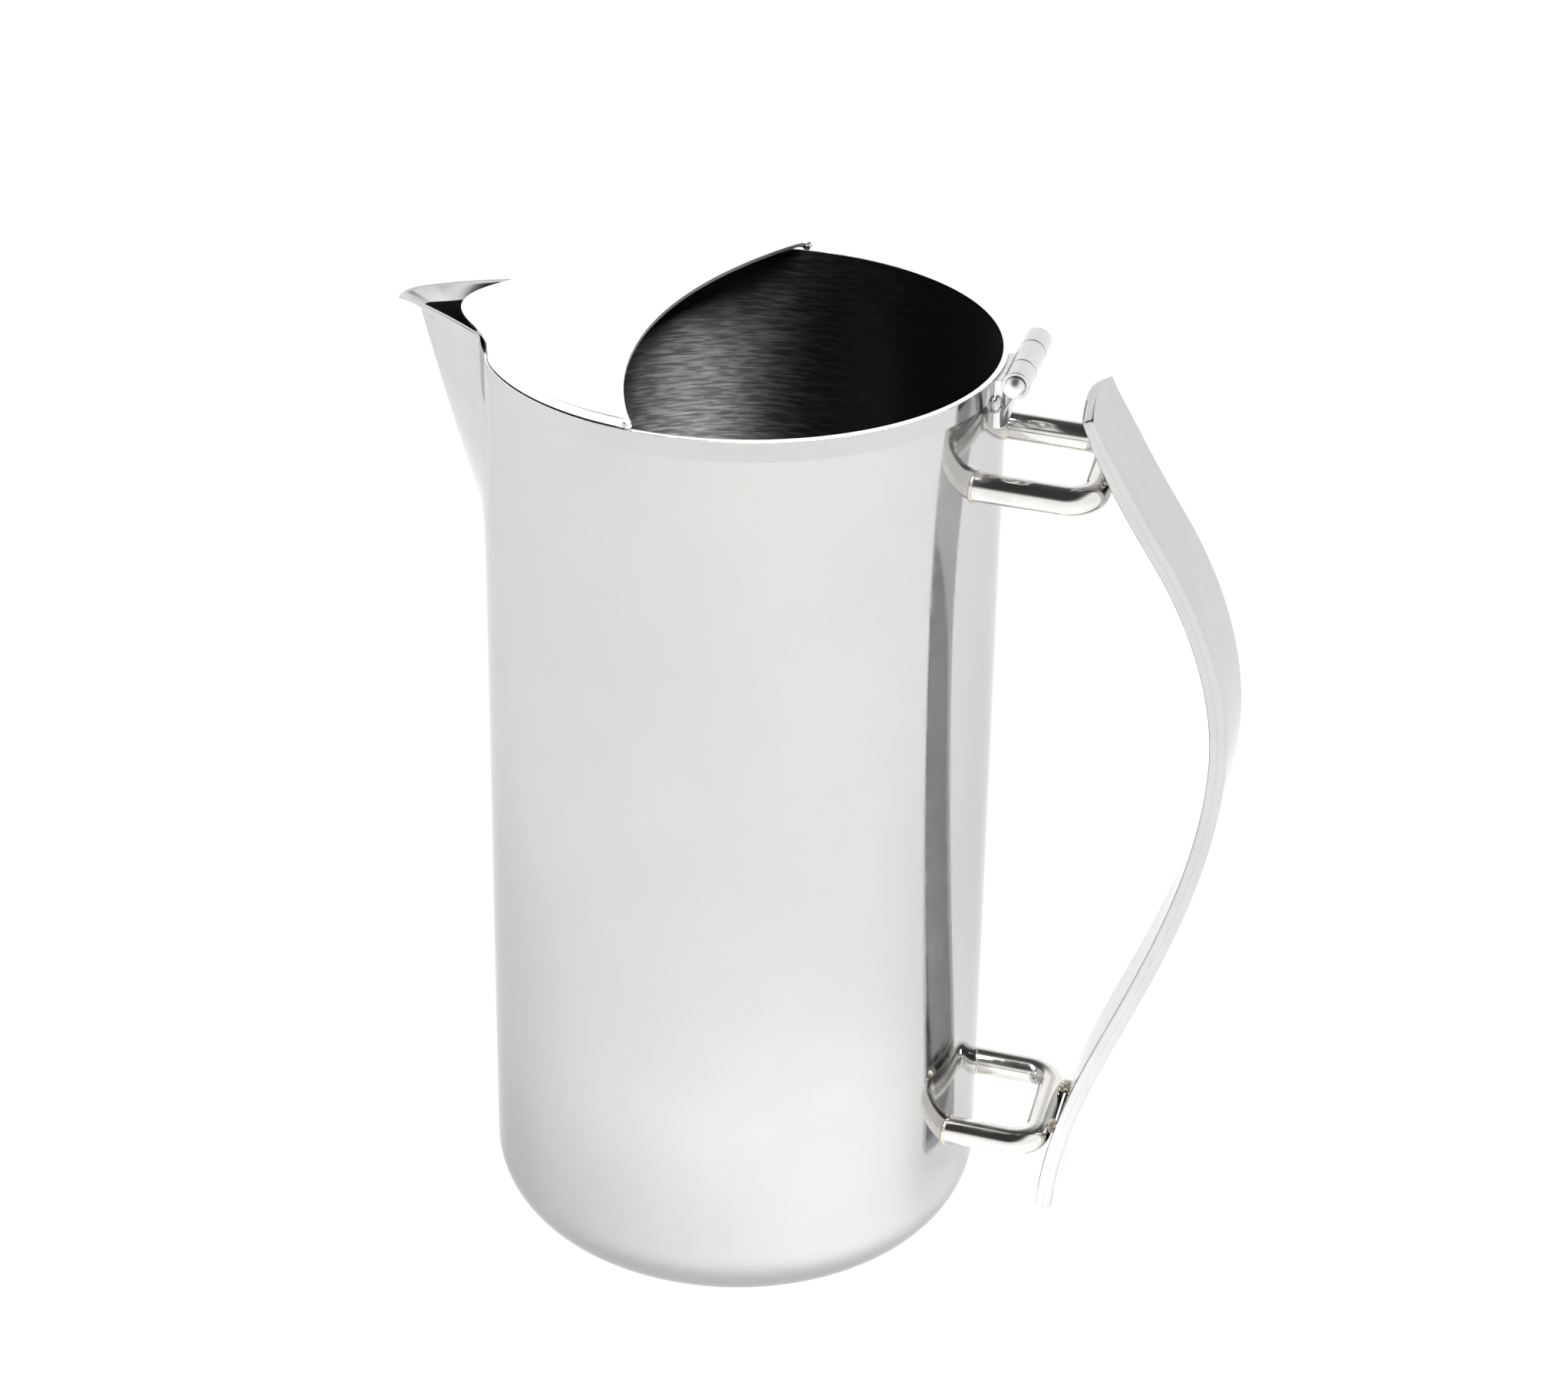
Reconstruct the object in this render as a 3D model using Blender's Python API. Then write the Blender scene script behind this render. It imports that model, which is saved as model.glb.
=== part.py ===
"""Polished steel water pitcher: drawn body, folded spout, ice guard, lid hinge and strap handle.

Frame: Z up, origin at the centre of the flat base. The spout points along -X, the handle along +X.
"""
import math

import bmesh
import bpy
from mathutils import Vector

MM = 0.001
GAP = 0.3 * MM                      # clearance kept between touching pieces

# Body: a drawn cup with a slight taper and a rounded bottom edge.
RIM_RADIUS = 58.0 * MM
FOOT_RADIUS = 57.2 * MM
BODY_HEIGHT = 221.5 * MM
BASE_FLAT_RADIUS = 35.6 * MM
BASE_CURVE_HEIGHT = 18.9 * MM
SHEET = 1.0 * MM
BODY_SEGMENTS = 72

# Spout: a sheet folded into a V that leans out of the body, with a flared lip.
SPOUT_FOOT_Z = 167.0 * MM
SPOUT_BEND_Z = 220.0 * MM
SPOUT_FRONT_X = -74.1 * MM          # front ridge at the height where the lip starts to flare
SPOUT_LEAN = 0.2918                 # outward run of the ridge for each unit of height
SPOUT_HALF_ANGLE = math.radians(42.5)   # at the lip's crease; lower down the sides leave the wall tangentially
SPOUT_TANGENT_Z = 208.0 * MM
SPOUT_TANGENT_INSET = 0.3 * MM
SPOUT_RIDGE_RADIUS = 4.0 * MM
LIP_HALF_ANGLE = math.radians(35.0)
LIP_RIDGE_RADIUS = 5.0 * MM
LIP_REACH = 5.2 * MM                # how far the lip's tip stands out past the ridge
LIP_RISE = 4.3 * MM
LIP_FALL = 1.7 * MM                 # how much lower the lip is where it meets the body
THROAT_FOOT_Z = 175.0 * MM

# Ice guard: a plate over the front of the mouth, with a short skirt on the rim.
GUARD_TOP_Z = BODY_HEIGHT + 2.5 * MM
GUARD_SHEET = 1.0 * MM
GUARD_NEAR_CORNER = math.radians(259.5)
GUARD_FAR_CORNER = math.radians(88.0)
GUARD_REAR_SAGITTA = 15.6 * MM
TONGUE_REACH = 6.4 * MM
TONGUE_HALF_ANGLE = math.radians(19.5)
SKIRT_START = math.radians(22.0)    # angle from -X at which the skirt clears the spout

# Hinge: a three-knuckle barrel beside the rim, its axis parallel to Y.
HINGE_X = 62.8 * MM
HINGE_Z = 222.3 * MM
BARREL_RADIUS = 3.1 * MM
BARREL_HALF_LENGTH = 13.7 * MM
KNUCKLE_HALF_WIDTH = 5.75 * MM      # the fixed middle knuckle
LEAF_HALF_WIDTH = 8.5 * MM          # the plate under it
LEAF_TOP_Z = 220.8 * MM
LEAF_FOOT_Z = 208.0 * MM
LEAF_FOOT_RISE = 1.9 * MM           # how much higher the plate's bottom corners are than its middle
PIN_RADIUS = 1.2 * MM
PIN_HALF_LENGTH = 11.6 * MM
BORE_RADIUS = PIN_RADIUS + GAP
BALL_RADIUS = 2.2 * MM
BALL_STAND_OUT = 0.5 * MM           # ball centre past the barrel's end
SEAT_DEPTH = 2.4 * MM

# Handle brackets: quarter-inch rod bent to a U.
ROD_RADIUS = 3.25 * MM
ROD_HALF_SPACING = 16.0 * MM
BEND_RADIUS = 6.5 * MM
UPPER_ROD = {"body_z": 199.9 * MM, "bar_x": 80.8 * MM, "bar_z": 198.4 * MM, "tilt": 0.75 * MM}
LOWER_ROD = {"body_z": 35.1 * MM, "bar_x": 74.8 * MM, "bar_z": 33.7 * MM, "tilt": 0.0}

# Handle: a flat strap made of an inner and an outer shell. Each knot is x, z and the strap's
# lean from the vertical in degrees, positive where it runs outward on its way down.
HANDLE_KNOTS = [
    (78.6, 215.5, 24.0),
    (96.0, 184.5, 32.7),
    (111.2, 135.5, -1.6),
    (91.0, 63.5, -22.8),
    (77.6, 14.6, -1.4),
]
HANDLE_HALF_WIDTH = 13.0 * MM
HANDLE_HALF_THICKNESS = 1.95 * MM
HANDLE_END_LENGTH = 3.5 * MM
HANDLE_ARCH = 2.3 * MM              # rise of the top edge's middle over its corners
HANDLE_ARCH_LENGTH = 22.0 * MM      # the arch fades out over this length of strap
HANDLE_STEPS = 9

WELD_RADIUS = 0.35 * MM

STEEL = (0.76, 0.76, 0.77)
SATIN = (0.62, 0.62, 0.62)
WELD = (0.72, 0.66, 0.52)


def clear_scene():
    for old in list(bpy.data.objects):
        bpy.data.objects.remove(old, do_unlink=True)


def material(name, colour, roughness):
    made = bpy.data.materials.new(name)
    made.use_nodes = True
    shader = made.node_tree.nodes["Principled BSDF"]
    shader.inputs["Base Color"].default_value = (*colour, 1.0)
    shader.inputs["Metallic"].default_value = 1.0
    shader.inputs["Roughness"].default_value = roughness
    return made


def add_solid(name, mesh, colour=STEEL, roughness=0.05, pivot=(0.0, 0.0, 0.0)):
    """Turn a bmesh in world coordinates into an object whose origin is the pivot."""
    bmesh.ops.recalc_face_normals(mesh, faces=mesh.faces)
    if mesh.calc_volume(signed=True) < 0.0:
        bmesh.ops.reverse_faces(mesh, faces=mesh.faces)
    bmesh.ops.translate(mesh, verts=mesh.verts, vec=-Vector(pivot))
    data = bpy.data.meshes.new(name)
    mesh.to_mesh(data)
    mesh.free()
    data.shade_smooth()
    data.set_sharp_from_angle(angle=math.radians(35.0))
    data.materials.append(material(name, colour, roughness))
    made = bpy.data.objects.new(name, data)
    made.location = pivot
    bpy.context.collection.objects.link(made)
    return made


def combine(target, cutter, operation):
    """Cut or join with a helper object, which stays hidden."""
    cutter.hide_render = True
    cutter.display_type = "WIRE"
    modifier = target.modifiers.new(operation.lower(), "BOOLEAN")
    modifier.operation = operation
    modifier.object = cutter


def loft(rings, around=False):
    """Skin a list of equal rings; around=True joins the last ring to the first."""
    mesh = bmesh.new()
    made = [[mesh.verts.new(point) for point in ring] for ring in rings]
    count = len(made[0])
    pairs = list(zip(made, made[1:]))
    if around:
        pairs.append((made[-1], made[0]))
    for low, high in pairs:
        for i in range(count):
            j = (i + 1) % count
            mesh.faces.new((low[i], low[j], high[j], high[i]))
    if not around:
        mesh.faces.new(list(reversed(made[0])))
        mesh.faces.new(made[-1])
    return mesh


def circle(radius, z, segments):
    steps = [2.0 * math.pi * i / segments for i in range(segments)]
    return [Vector((radius * math.cos(a), radius * math.sin(a), z)) for a in steps]


def ring_about_y(radius, y, segments):
    steps = [2.0 * math.pi * i / segments for i in range(segments)]
    return [Vector((HINGE_X + radius * math.cos(a), y, HINGE_Z + radius * math.sin(a))) for a in steps]


def ellipsoid(name, centre, radii, colour=WELD, pivot=(0.0, 0.0, 0.0)):
    mesh = bmesh.new()
    bmesh.ops.create_uvsphere(mesh, u_segments=12, v_segments=8, radius=1.0)
    bmesh.ops.scale(mesh, verts=mesh.verts, vec=radii)
    bmesh.ops.translate(mesh, verts=mesh.verts, vec=centre)
    return add_solid(name, mesh, colour, 0.15, pivot)


def wall_radius(z):
    """Outer radius of the body's wall at a height above the bottom curve."""
    share = (z - BASE_CURVE_HEIGHT) / (BODY_HEIGHT - BASE_CURVE_HEIGHT)
    return FOOT_RADIUS + (RIM_RADIUS - FOOT_RADIUS) * share


def cup_profile(inset):
    """Radius and height pairs from the flat base up to the rim, moved in by the inset."""
    points = []
    for i in range(9):
        angle = 0.5 * math.pi * i / 8
        radius = BASE_FLAT_RADIUS + (FOOT_RADIUS - inset - BASE_FLAT_RADIUS) * math.sin(angle)
        z = inset + (BASE_CURVE_HEIGHT - inset) * (1.0 - math.cos(angle))
        points.append((radius, z))
    for z in (90.0 * MM, 160.0 * MM, BODY_HEIGHT):
        points.append((wall_radius(z) - inset, z))
    return points


def make_body():
    profile = cup_profile(0.0) + list(reversed(cup_profile(SHEET)))
    body = add_solid("body_shell", loft([circle(r, z, BODY_SEGMENTS) for r, z in profile]))
    levels = [THROAT_FOOT_Z, 185.0 * MM, 200.0 * MM, 212.0 * MM, BODY_HEIGHT + 2.0 * MM]
    rings = []
    for z in levels:
        half = throat_half_width(min(z, BODY_HEIGHT))
        outer = -wall_radius(z) - 3.0 * MM
        inner = -45.0 * MM
        rings.append([Vector(p) for p in
                      ((inner, -half, z), (outer, -half, z), (outer, half, z), (inner, half, z))])
    cutter = add_solid("throat_cutter", loft(rings))
    combine(body, cutter, "DIFFERENCE")


def spout_x(y, front, half_angle, ridge_radius):
    """X of a V-shaped section with a rounded ridge, at a distance y from the middle."""
    y = abs(y)
    round_end = ridge_radius * math.cos(half_angle)
    centre = front + ridge_radius
    if y <= round_end:
        return centre - math.sqrt(ridge_radius ** 2 - y ** 2)
    return centre - ridge_radius * math.sin(half_angle) + (y - round_end) / math.tan(half_angle)


def spout_reach(front, half_angle, ridge_radius, radius):
    """Half width at which the V meets a circle of the given radius, or 0 if it stays inside."""
    if -front <= radius:
        return 0.0
    low = 0.0
    high = radius * math.cos(half_angle)
    for _ in range(40):
        y = 0.5 * (low + high)
        if spout_x(y, front, half_angle, ridge_radius) ** 2 + y ** 2 > radius ** 2:
            low = y
        else:
            high = y
    return low


def spout_front(z):
    return SPOUT_FRONT_X - SPOUT_LEAN * (z - SPOUT_BEND_Z)


def spout_half_angle(z):
    """Half angle of the V at a height: nearly tangent to the wall, drawn in towards the crease."""
    centre = -spout_front(z) - SPOUT_RIDGE_RADIUS
    ratio = (wall_radius(z) - SPOUT_TANGENT_INSET - SPOUT_RIDGE_RADIUS) / centre
    tangent = math.asin(min(ratio, 0.985))
    share = min(max((z - SPOUT_TANGENT_Z) / (SPOUT_BEND_Z - SPOUT_TANGENT_Z), 0.0), 1.0)
    share = share * share * (3.0 - 2.0 * share)
    return tangent + (SPOUT_HALF_ANGLE - tangent) * share


def throat_half_width(z):
    reach = spout_reach(spout_front(z) + SHEET, SPOUT_HALF_ANGLE, SPOUT_RIDGE_RADIUS - SHEET,
                        wall_radius(z) + GAP)
    return max(reach - 0.2 * MM, 0.8 * MM)


def spout_ring(z, front, half_angle, ridge_radius, fall):
    """One closed section of the spout: outer face from near to far, inner face back."""
    half_count = 10
    radius = wall_radius(min(z, BODY_HEIGHT)) + GAP
    outer_reach = spout_reach(front, half_angle, ridge_radius, radius)
    inner_reach = spout_reach(front + SHEET, half_angle, ridge_radius - SHEET, radius)
    inner_reach = max(inner_reach, 0.6 * outer_reach)
    shares = [math.copysign(abs(i / half_count) ** 1.4, i) for i in range(-half_count, half_count + 1)]

    def point(share, reach, start, round_radius):
        y = share * reach
        x = min(spout_x(y, start, half_angle, round_radius), -math.sqrt(radius ** 2 - y ** 2))
        drop = fall * (x - front) / (20.0 * MM)
        return Vector((x, y, z - drop))

    outer = [point(s, outer_reach, front, ridge_radius) for s in shares]
    inner = [point(s, inner_reach, front + SHEET, ridge_radius - SHEET) for s in shares]
    return outer + list(reversed(inner))


def make_spout():
    rings = []
    steps = 16
    for i in range(steps + 1):
        z = SPOUT_FOOT_Z + (SPOUT_BEND_Z - SPOUT_FOOT_Z) * i / steps
        rings.append(spout_ring(z, spout_front(z), spout_half_angle(z), SPOUT_RIDGE_RADIUS, 0.0))
    for i in range(1, 6):
        turn = 0.5 * math.pi * i / 5
        out = 1.0 - math.cos(turn)
        z = SPOUT_BEND_Z + LIP_RISE * math.sin(turn)
        half_angle = SPOUT_HALF_ANGLE + (LIP_HALF_ANGLE - SPOUT_HALF_ANGLE) * out
        ridge_radius = SPOUT_RIDGE_RADIUS + (LIP_RIDGE_RADIUS - SPOUT_RIDGE_RADIUS) * out
        rings.append(spout_ring(z, SPOUT_FRONT_X - LIP_REACH * out, half_angle, ridge_radius,
                                LIP_FALL * math.sin(turn)))
    add_solid("spout", loft(rings))


def polar(radius, angle, z):
    return Vector((radius * math.cos(angle), radius * math.sin(angle), z))


def guard_outline(z):
    """Outline of the plate: along the rim, out over the spout, and back along the rear arc."""
    points = []
    rim_steps = 56
    for i in range(rim_steps + 1):
        angle = GUARD_NEAR_CORNER + (GUARD_FAR_CORNER - GUARD_NEAR_CORNER) * i / rim_steps
        share = abs(angle - math.pi) / TONGUE_HALF_ANGLE
        bump = math.cos(0.5 * math.pi * share) ** 1.7 if share < 1.0 else 0.0
        points.append(polar(RIM_RADIUS - 0.2 * MM + TONGUE_REACH * bump, angle, z))
    start = points[-1]
    end = points[0]
    middle = 0.5 * (start + end)
    half_chord = 0.5 * (end - start).length
    inward = Vector((-(end - start).y, (end - start).x, 0.0)).normalized()
    if inward.x > 0.0:
        inward = -inward
    radius = (half_chord ** 2 + GUARD_REAR_SAGITTA ** 2) / (2.0 * GUARD_REAR_SAGITTA)
    centre = middle + inward * (GUARD_REAR_SAGITTA - radius)
    half_turn = math.asin(half_chord / radius)
    along = (end - start).normalized()
    rear_steps = 18
    for i in range(1, rear_steps):
        turn = half_turn * (2.0 * i / rear_steps - 1.0)
        points.append(centre + radius * (inward * math.cos(turn) + along * math.sin(turn)))
    return points


def make_skirt(name, start, end):
    """A sector of the short wall between the body's rim and the plate."""
    low = BODY_HEIGHT + GAP
    high = GUARD_TOP_Z - 0.5 * GUARD_SHEET
    outer = RIM_RADIUS - 0.2 * MM
    inner = outer - SHEET
    rings = []
    for i in range(21):
        angle = start + (end - start) * i / 20
        rings.append([polar(inner, angle, low), polar(outer, angle, low),
                      polar(outer, angle, high), polar(inner, angle, high)])
    return add_solid(name, loft(rings))


def make_guard():
    low = guard_outline(GUARD_TOP_Z - GUARD_SHEET)
    bevel_low = guard_outline(GUARD_TOP_Z - 0.4 * GUARD_SHEET)
    middle = Vector((-40.0 * MM, 0.0, GUARD_TOP_Z))
    top = []
    for point in guard_outline(GUARD_TOP_Z):
        top.append(middle + (point - middle) * (1.0 - 0.4 * MM / (point - middle).length))
    plate = add_solid("ice_guard", loft([low, bevel_low, top]))
    inset = math.radians(0.5)
    near = make_skirt("near_skirt_joiner", GUARD_NEAR_CORNER - inset, math.pi + SKIRT_START)
    far = make_skirt("far_skirt_joiner", math.pi - SKIRT_START, GUARD_FAR_CORNER + inset)
    combine(plate, near, "UNION")
    combine(plate, far, "UNION")
    step_z = 0.5 * (BODY_HEIGHT + GUARD_TOP_Z)
    weld_radius = RIM_RADIUS - 0.6 * MM
    nub = Vector((1.4, 0.9, 0.9)) * MM
    ellipsoid("guard_weld_near", polar(weld_radius, GUARD_NEAR_CORNER + math.radians(2.0), step_z), nub)
    ellipsoid("guard_weld_far", polar(weld_radius, GUARD_FAR_CORNER - math.radians(2.0), step_z), nub)


def hinge_pivot():
    return (HINGE_X, 0.0, HINGE_Z)


def make_leaf():
    """The fixed middle knuckle, the web under it, and the thin plate that is welded to the wall."""
    back_x = RIM_RADIUS + GAP + 0.05 * MM
    web_back_x = back_x + 0.15 * MM
    outline = [(web_back_x, 212.0 * MM), (web_back_x, LEAF_TOP_Z)]
    for i in range(17):
        angle = math.radians(150.0 - 230.0 * i / 16)
        outline.append((HINGE_X + BARREL_RADIUS * math.cos(angle),
                        HINGE_Z + BARREL_RADIUS * math.sin(angle)))
    outline += [(61.6 * MM, 218.0 * MM), (60.4 * MM, 215.0 * MM), (59.6 * MM, 213.2 * MM)]
    web = [[Vector((x, y, z)) for x, z in outline] for y in (-KNUCKLE_HALF_WIDTH, KNUCKLE_HALF_WIDTH)]
    leaf = add_solid("hinge_leaf", loft(web))
    plate = []
    for i in range(13):
        across = i / 6.0 - 1.0
        foot = LEAF_FOOT_Z + LEAF_FOOT_RISE * across ** 2
        side = [(back_x, foot), (back_x, LEAF_TOP_Z), (59.3 * MM, LEAF_TOP_Z), (59.4 * MM, 216.0 * MM),
                (59.0 * MM, 213.2 * MM), (59.4 * MM, foot + 0.9 * MM), (59.6 * MM, foot)]
        plate.append([Vector((x, across * LEAF_HALF_WIDTH, z)) for x, z in side])
    combine(leaf, add_solid("leaf_plate", loft(plate)), "UNION")
    reach = KNUCKLE_HALF_WIDTH + 1.0 * MM
    bore = add_solid("bore_cutter", loft([ring_about_y(BORE_RADIUS, y, 24) for y in (-reach, reach)]))
    combine(leaf, bore, "DIFFERENCE")
    for side, name in ((-1.0, "leaf_weld_near"), (1.0, "leaf_weld_far")):
        centre = Vector((58.15, side * 9.45, 216.5)) * MM
        ellipsoid(name, centre, Vector((0.55, 0.6, 2.0)) * MM)


def make_knuckle(name, side):
    inner_y = side * (KNUCKLE_HALF_WIDTH + GAP)
    outer_y = side * BARREL_HALF_LENGTH
    seat_y = side * (BARREL_HALF_LENGTH - SEAT_DEPTH)
    seat_radius = BALL_RADIUS + 0.35 * MM
    profile = [(BARREL_RADIUS, inner_y), (BARREL_RADIUS, outer_y), (seat_radius, outer_y),
               (seat_radius, seat_y), (BORE_RADIUS, seat_y), (BORE_RADIUS, inner_y)]
    rings = [ring_about_y(radius, y, 24) for radius, y in profile]
    add_solid(name, loft(rings, around=True), pivot=hinge_pivot())


def make_hinge():
    make_leaf()
    make_knuckle("hinge_knuckle_near", -1.0)
    make_knuckle("hinge_knuckle_far", 1.0)
    ends = (-PIN_HALF_LENGTH, PIN_HALF_LENGTH)
    add_solid("hinge_pin", loft([ring_about_y(PIN_RADIUS, y, 20) for y in ends]), pivot=hinge_pivot())
    for side, name in ((-1.0, "ball_tip_near"), (1.0, "ball_tip_far")):
        y = side * (BARREL_HALF_LENGTH + BALL_STAND_OUT)
        radii = Vector((BALL_RADIUS, BALL_RADIUS, BALL_RADIUS))
        ellipsoid(name, Vector((HINGE_X, y, HINGE_Z)), radii, STEEL, hinge_pivot())


def rod_path(rod):
    """Centre line of a bracket from the near end to the far end, as points and directions."""
    start = Vector((wall_radius(rod["body_z"]) - 3.0 * MM, 0.0, rod["body_z"]))
    end = Vector((rod["bar_x"], 0.0, rod["bar_z"]))
    out = (end - start).normalized()
    corner = end - out * BEND_RADIUS
    across = Vector((0.0, 1.0, 0.0))
    inside = ROD_HALF_SPACING - BEND_RADIUS
    path = [(start - across * ROD_HALF_SPACING, out)]
    for side in (-1.0, 1.0):
        for i in range(7):
            turn = 0.5 * math.pi * i / 6
            if side > 0.0:
                turn = 0.5 * math.pi - turn
            offset = out * math.sin(turn) + across * side * math.cos(turn)
            heading = out * math.cos(turn) * -side + across * math.sin(turn)
            path.append((corner + across * side * inside + offset * BEND_RADIUS, heading))
    path.append((start + across * ROD_HALF_SPACING, -out))
    return path, out


def make_bracket(name, rod):
    path, out = rod_path(rod)
    up = out.cross(Vector((0.0, 1.0, 0.0))).normalized()
    sides = 16
    rings = []
    for index, (centre, heading) in enumerate(path):
        across = heading.cross(up)
        ring = []
        for i in range(sides):
            angle = 2.0 * math.pi * i / sides
            point = centre + ROD_RADIUS * (across * math.cos(angle) + up * math.sin(angle))
            point.z += rod["tilt"] * point.y / ROD_HALF_SPACING
            if index in (0, len(path) - 1):
                reach = wall_radius(point.z) + GAP
                moved = math.sqrt(reach ** 2 - point.y ** 2) - point.x
                point += out * (moved / out.x)
            ring.append(point)
        rings.append(ring)
    add_solid(name, loft(rings))


def make_rod_weld(name, rod, side):
    """A thin bead around the rod where it meets the body."""
    ring_radius = ROD_RADIUS + GAP + WELD_RADIUS + 0.05 * MM
    centre_y = side * ROD_HALF_SPACING
    centre_z = rod["body_z"] - 0.1 * MM + rod["tilt"] * side
    rings = []
    for i in range(24):
        angle = 2.0 * math.pi * i / 24
        y = centre_y + ring_radius * math.cos(angle)
        z = centre_z + ring_radius * math.sin(angle)
        x = math.sqrt((wall_radius(z) + GAP + WELD_RADIUS + 0.05 * MM) ** 2 - y ** 2)
        outward = Vector((0.0, math.cos(angle), math.sin(angle)))
        rings.append([Vector((x, y, z)) + WELD_RADIUS * (outward * math.cos(b) + Vector((math.sin(b), 0, 0)))
                      for b in (math.pi * k / 3 for k in range(6))])
    add_solid(name, loft(rings, around=True), WELD, 0.2)


def handle_line():
    """Points, outward normals and distances along the strap's middle, from the top down."""
    knots = []
    for x, z, lean in HANDLE_KNOTS:
        angle = math.radians(lean)
        knots.append((Vector((x, 0.0, z)) * MM, Vector((math.sin(angle), 0.0, -math.cos(angle)))))
    points = []
    for (p0, d0), (p1, d1) in zip(knots, knots[1:]):
        length = (p1 - p0).length
        for i in range(HANDLE_STEPS):
            t = i / HANDLE_STEPS
            h00 = 2 * t ** 3 - 3 * t ** 2 + 1
            h10 = t ** 3 - 2 * t ** 2 + t
            h01 = -2 * t ** 3 + 3 * t ** 2
            h11 = t ** 3 - t ** 2
            points.append(p0 * h00 + d0 * length * h10 + p1 * h01 + d1 * length * h11)
    points.append(knots[-1][0])
    return points


def strap_stations():
    """Stations along the strap, with extra ones near both ends for their rounded corners."""
    points = handle_line()
    total = sum((b - a).length for a, b in zip(points, points[1:]))
    stations = []
    walked = 0.0
    for index, point in enumerate(points):
        before = points[max(index - 1, 0)]
        after = points[min(index + 1, len(points) - 1)]
        along = (after - before).normalized()
        if index > 0:
            walked += (point - points[index - 1]).length
        stations.append((point, along, walked))
    dense = []
    for index, (point, along, walked) in enumerate(stations):
        if index == len(stations) - 1:
            for back in (0.6, 0.3, 0.12, 0.03):
                dense.append((point - along * HANDLE_END_LENGTH * back, along, total - HANDLE_END_LENGTH * back))
        dense.append((point, along, walked))
        if index == 0:
            for ahead in (0.03, 0.12, 0.3, 0.6):
                dense.append((point + along * HANDLE_END_LENGTH * ahead, along, HANDLE_END_LENGTH * ahead))
    return dense, total


def make_handle_shell(name, low, high):
    """One of the strap's two shells, between two depths measured outward from its middle."""
    stations, total = strap_stations()
    chamfer = 0.45 * MM
    rings = []
    for point, along, walked in stations:
        outward = Vector((-along.z, 0.0, along.x))
        to_end = min(walked, total - walked)
        share = min(to_end / HANDLE_END_LENGTH, 1.0)
        half = HANDLE_HALF_WIDTH - 3.0 * MM * (1.0 - math.sqrt(1.0 - (1.0 - share) ** 2))
        thin = 1.0
        if walked < 9.0 * MM:
            thin = 0.62 + 0.38 * walked / (9.0 * MM)
        a = low * thin
        b = high * thin
        outer_cut = chamfer if high > 0.0 else 0.0
        inner_cut = chamfer if high < 0.0 else 0.0
        across = [-0.5 * half, 0.0, 0.5 * half]
        section = [(-half + inner_cut, a)] + [(y, a) for y in across] + [(half - inner_cut, a)]
        if inner_cut > 0.0:
            section.append((half, a + inner_cut))
        section.append((half, b - outer_cut))
        if outer_cut > 0.0:
            section.append((half - outer_cut, b))
        section += [(y, b) for y in reversed(across)]
        if outer_cut > 0.0:
            section.append((-half + outer_cut, b))
        section.append((-half, b - outer_cut))
        if inner_cut > 0.0:
            section.append((-half, a + inner_cut))
        fade = max(1.0 - walked / HANDLE_ARCH_LENGTH, 0.0) ** 2
        ring = []
        for y, depth in section:
            rise = HANDLE_ARCH * fade * (1.0 - (y / HANDLE_HALF_WIDTH) ** 2)
            ring.append(point + Vector((0.0, y, 0.0)) + outward * depth - along * rise)
        rings.append(ring)
    add_solid(name, loft(rings))


def inner_face_near(rod):
    """The point of the strap's inner face nearest to a bracket's bar, and the face's normal."""
    bar = Vector((rod["bar_x"], 0.0, rod["bar_z"]))
    stations, _ = strap_stations()
    point, along, _ = min(stations, key=lambda station: (station[0] - bar).length)
    inward = Vector((along.z, 0.0, -along.x))
    point = bar - inward * ((bar - point).dot(inward) - HANDLE_HALF_THICKNESS)
    return point, inward, along


def make_handle_weld(name, rod, side):
    """A short bead in the nook between a bracket's bar and the strap."""
    face, inward, along = inner_face_near(rod)
    bead = 0.7 * MM
    from_face = bead + GAP
    from_bar = ROD_RADIUS + GAP + bead
    bar = Vector((rod["bar_x"], 0.0, rod["bar_z"]))
    bar_height = (bar - face).dot(inward)
    up_face = math.sqrt(from_bar ** 2 - (bar_height - from_face) ** 2)
    centre = face + inward * from_face - along * up_face
    centre.y = side * 8.0 * MM
    centre.z += rod["tilt"] * centre.y / ROD_HALF_SPACING
    ellipsoid(name, centre, Vector((bead, 1.8 * MM, bead)))


clear_scene()
make_body()
make_spout()
make_guard()
make_hinge()
make_bracket("upper_bracket", UPPER_ROD)
make_bracket("lower_bracket", LOWER_ROD)
make_handle_shell("handle_outer_shell", 0.5 * GAP, HANDLE_HALF_THICKNESS)
make_handle_shell("handle_inner_shell", -HANDLE_HALF_THICKNESS, -0.5 * GAP)
for level, level_rod in (("upper", UPPER_ROD), ("lower", LOWER_ROD)):
    for place, sign in (("near", -1.0), ("far", 1.0)):
        make_rod_weld(f"{level}_rod_weld_{place}", level_rod, sign)
        make_handle_weld(f"{level}_handle_weld_{place}", level_rod, sign)
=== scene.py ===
"""Looks of the polished steel water pitcher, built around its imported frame.

Frame: metres, Z up, origin at the centre of the flat base, spout along -X, handle along +X.
Lengths below are written in millimetres and multiplied by MM.
"""

import math

import bmesh
import bpy
from mathutils import Matrix, Vector


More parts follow.
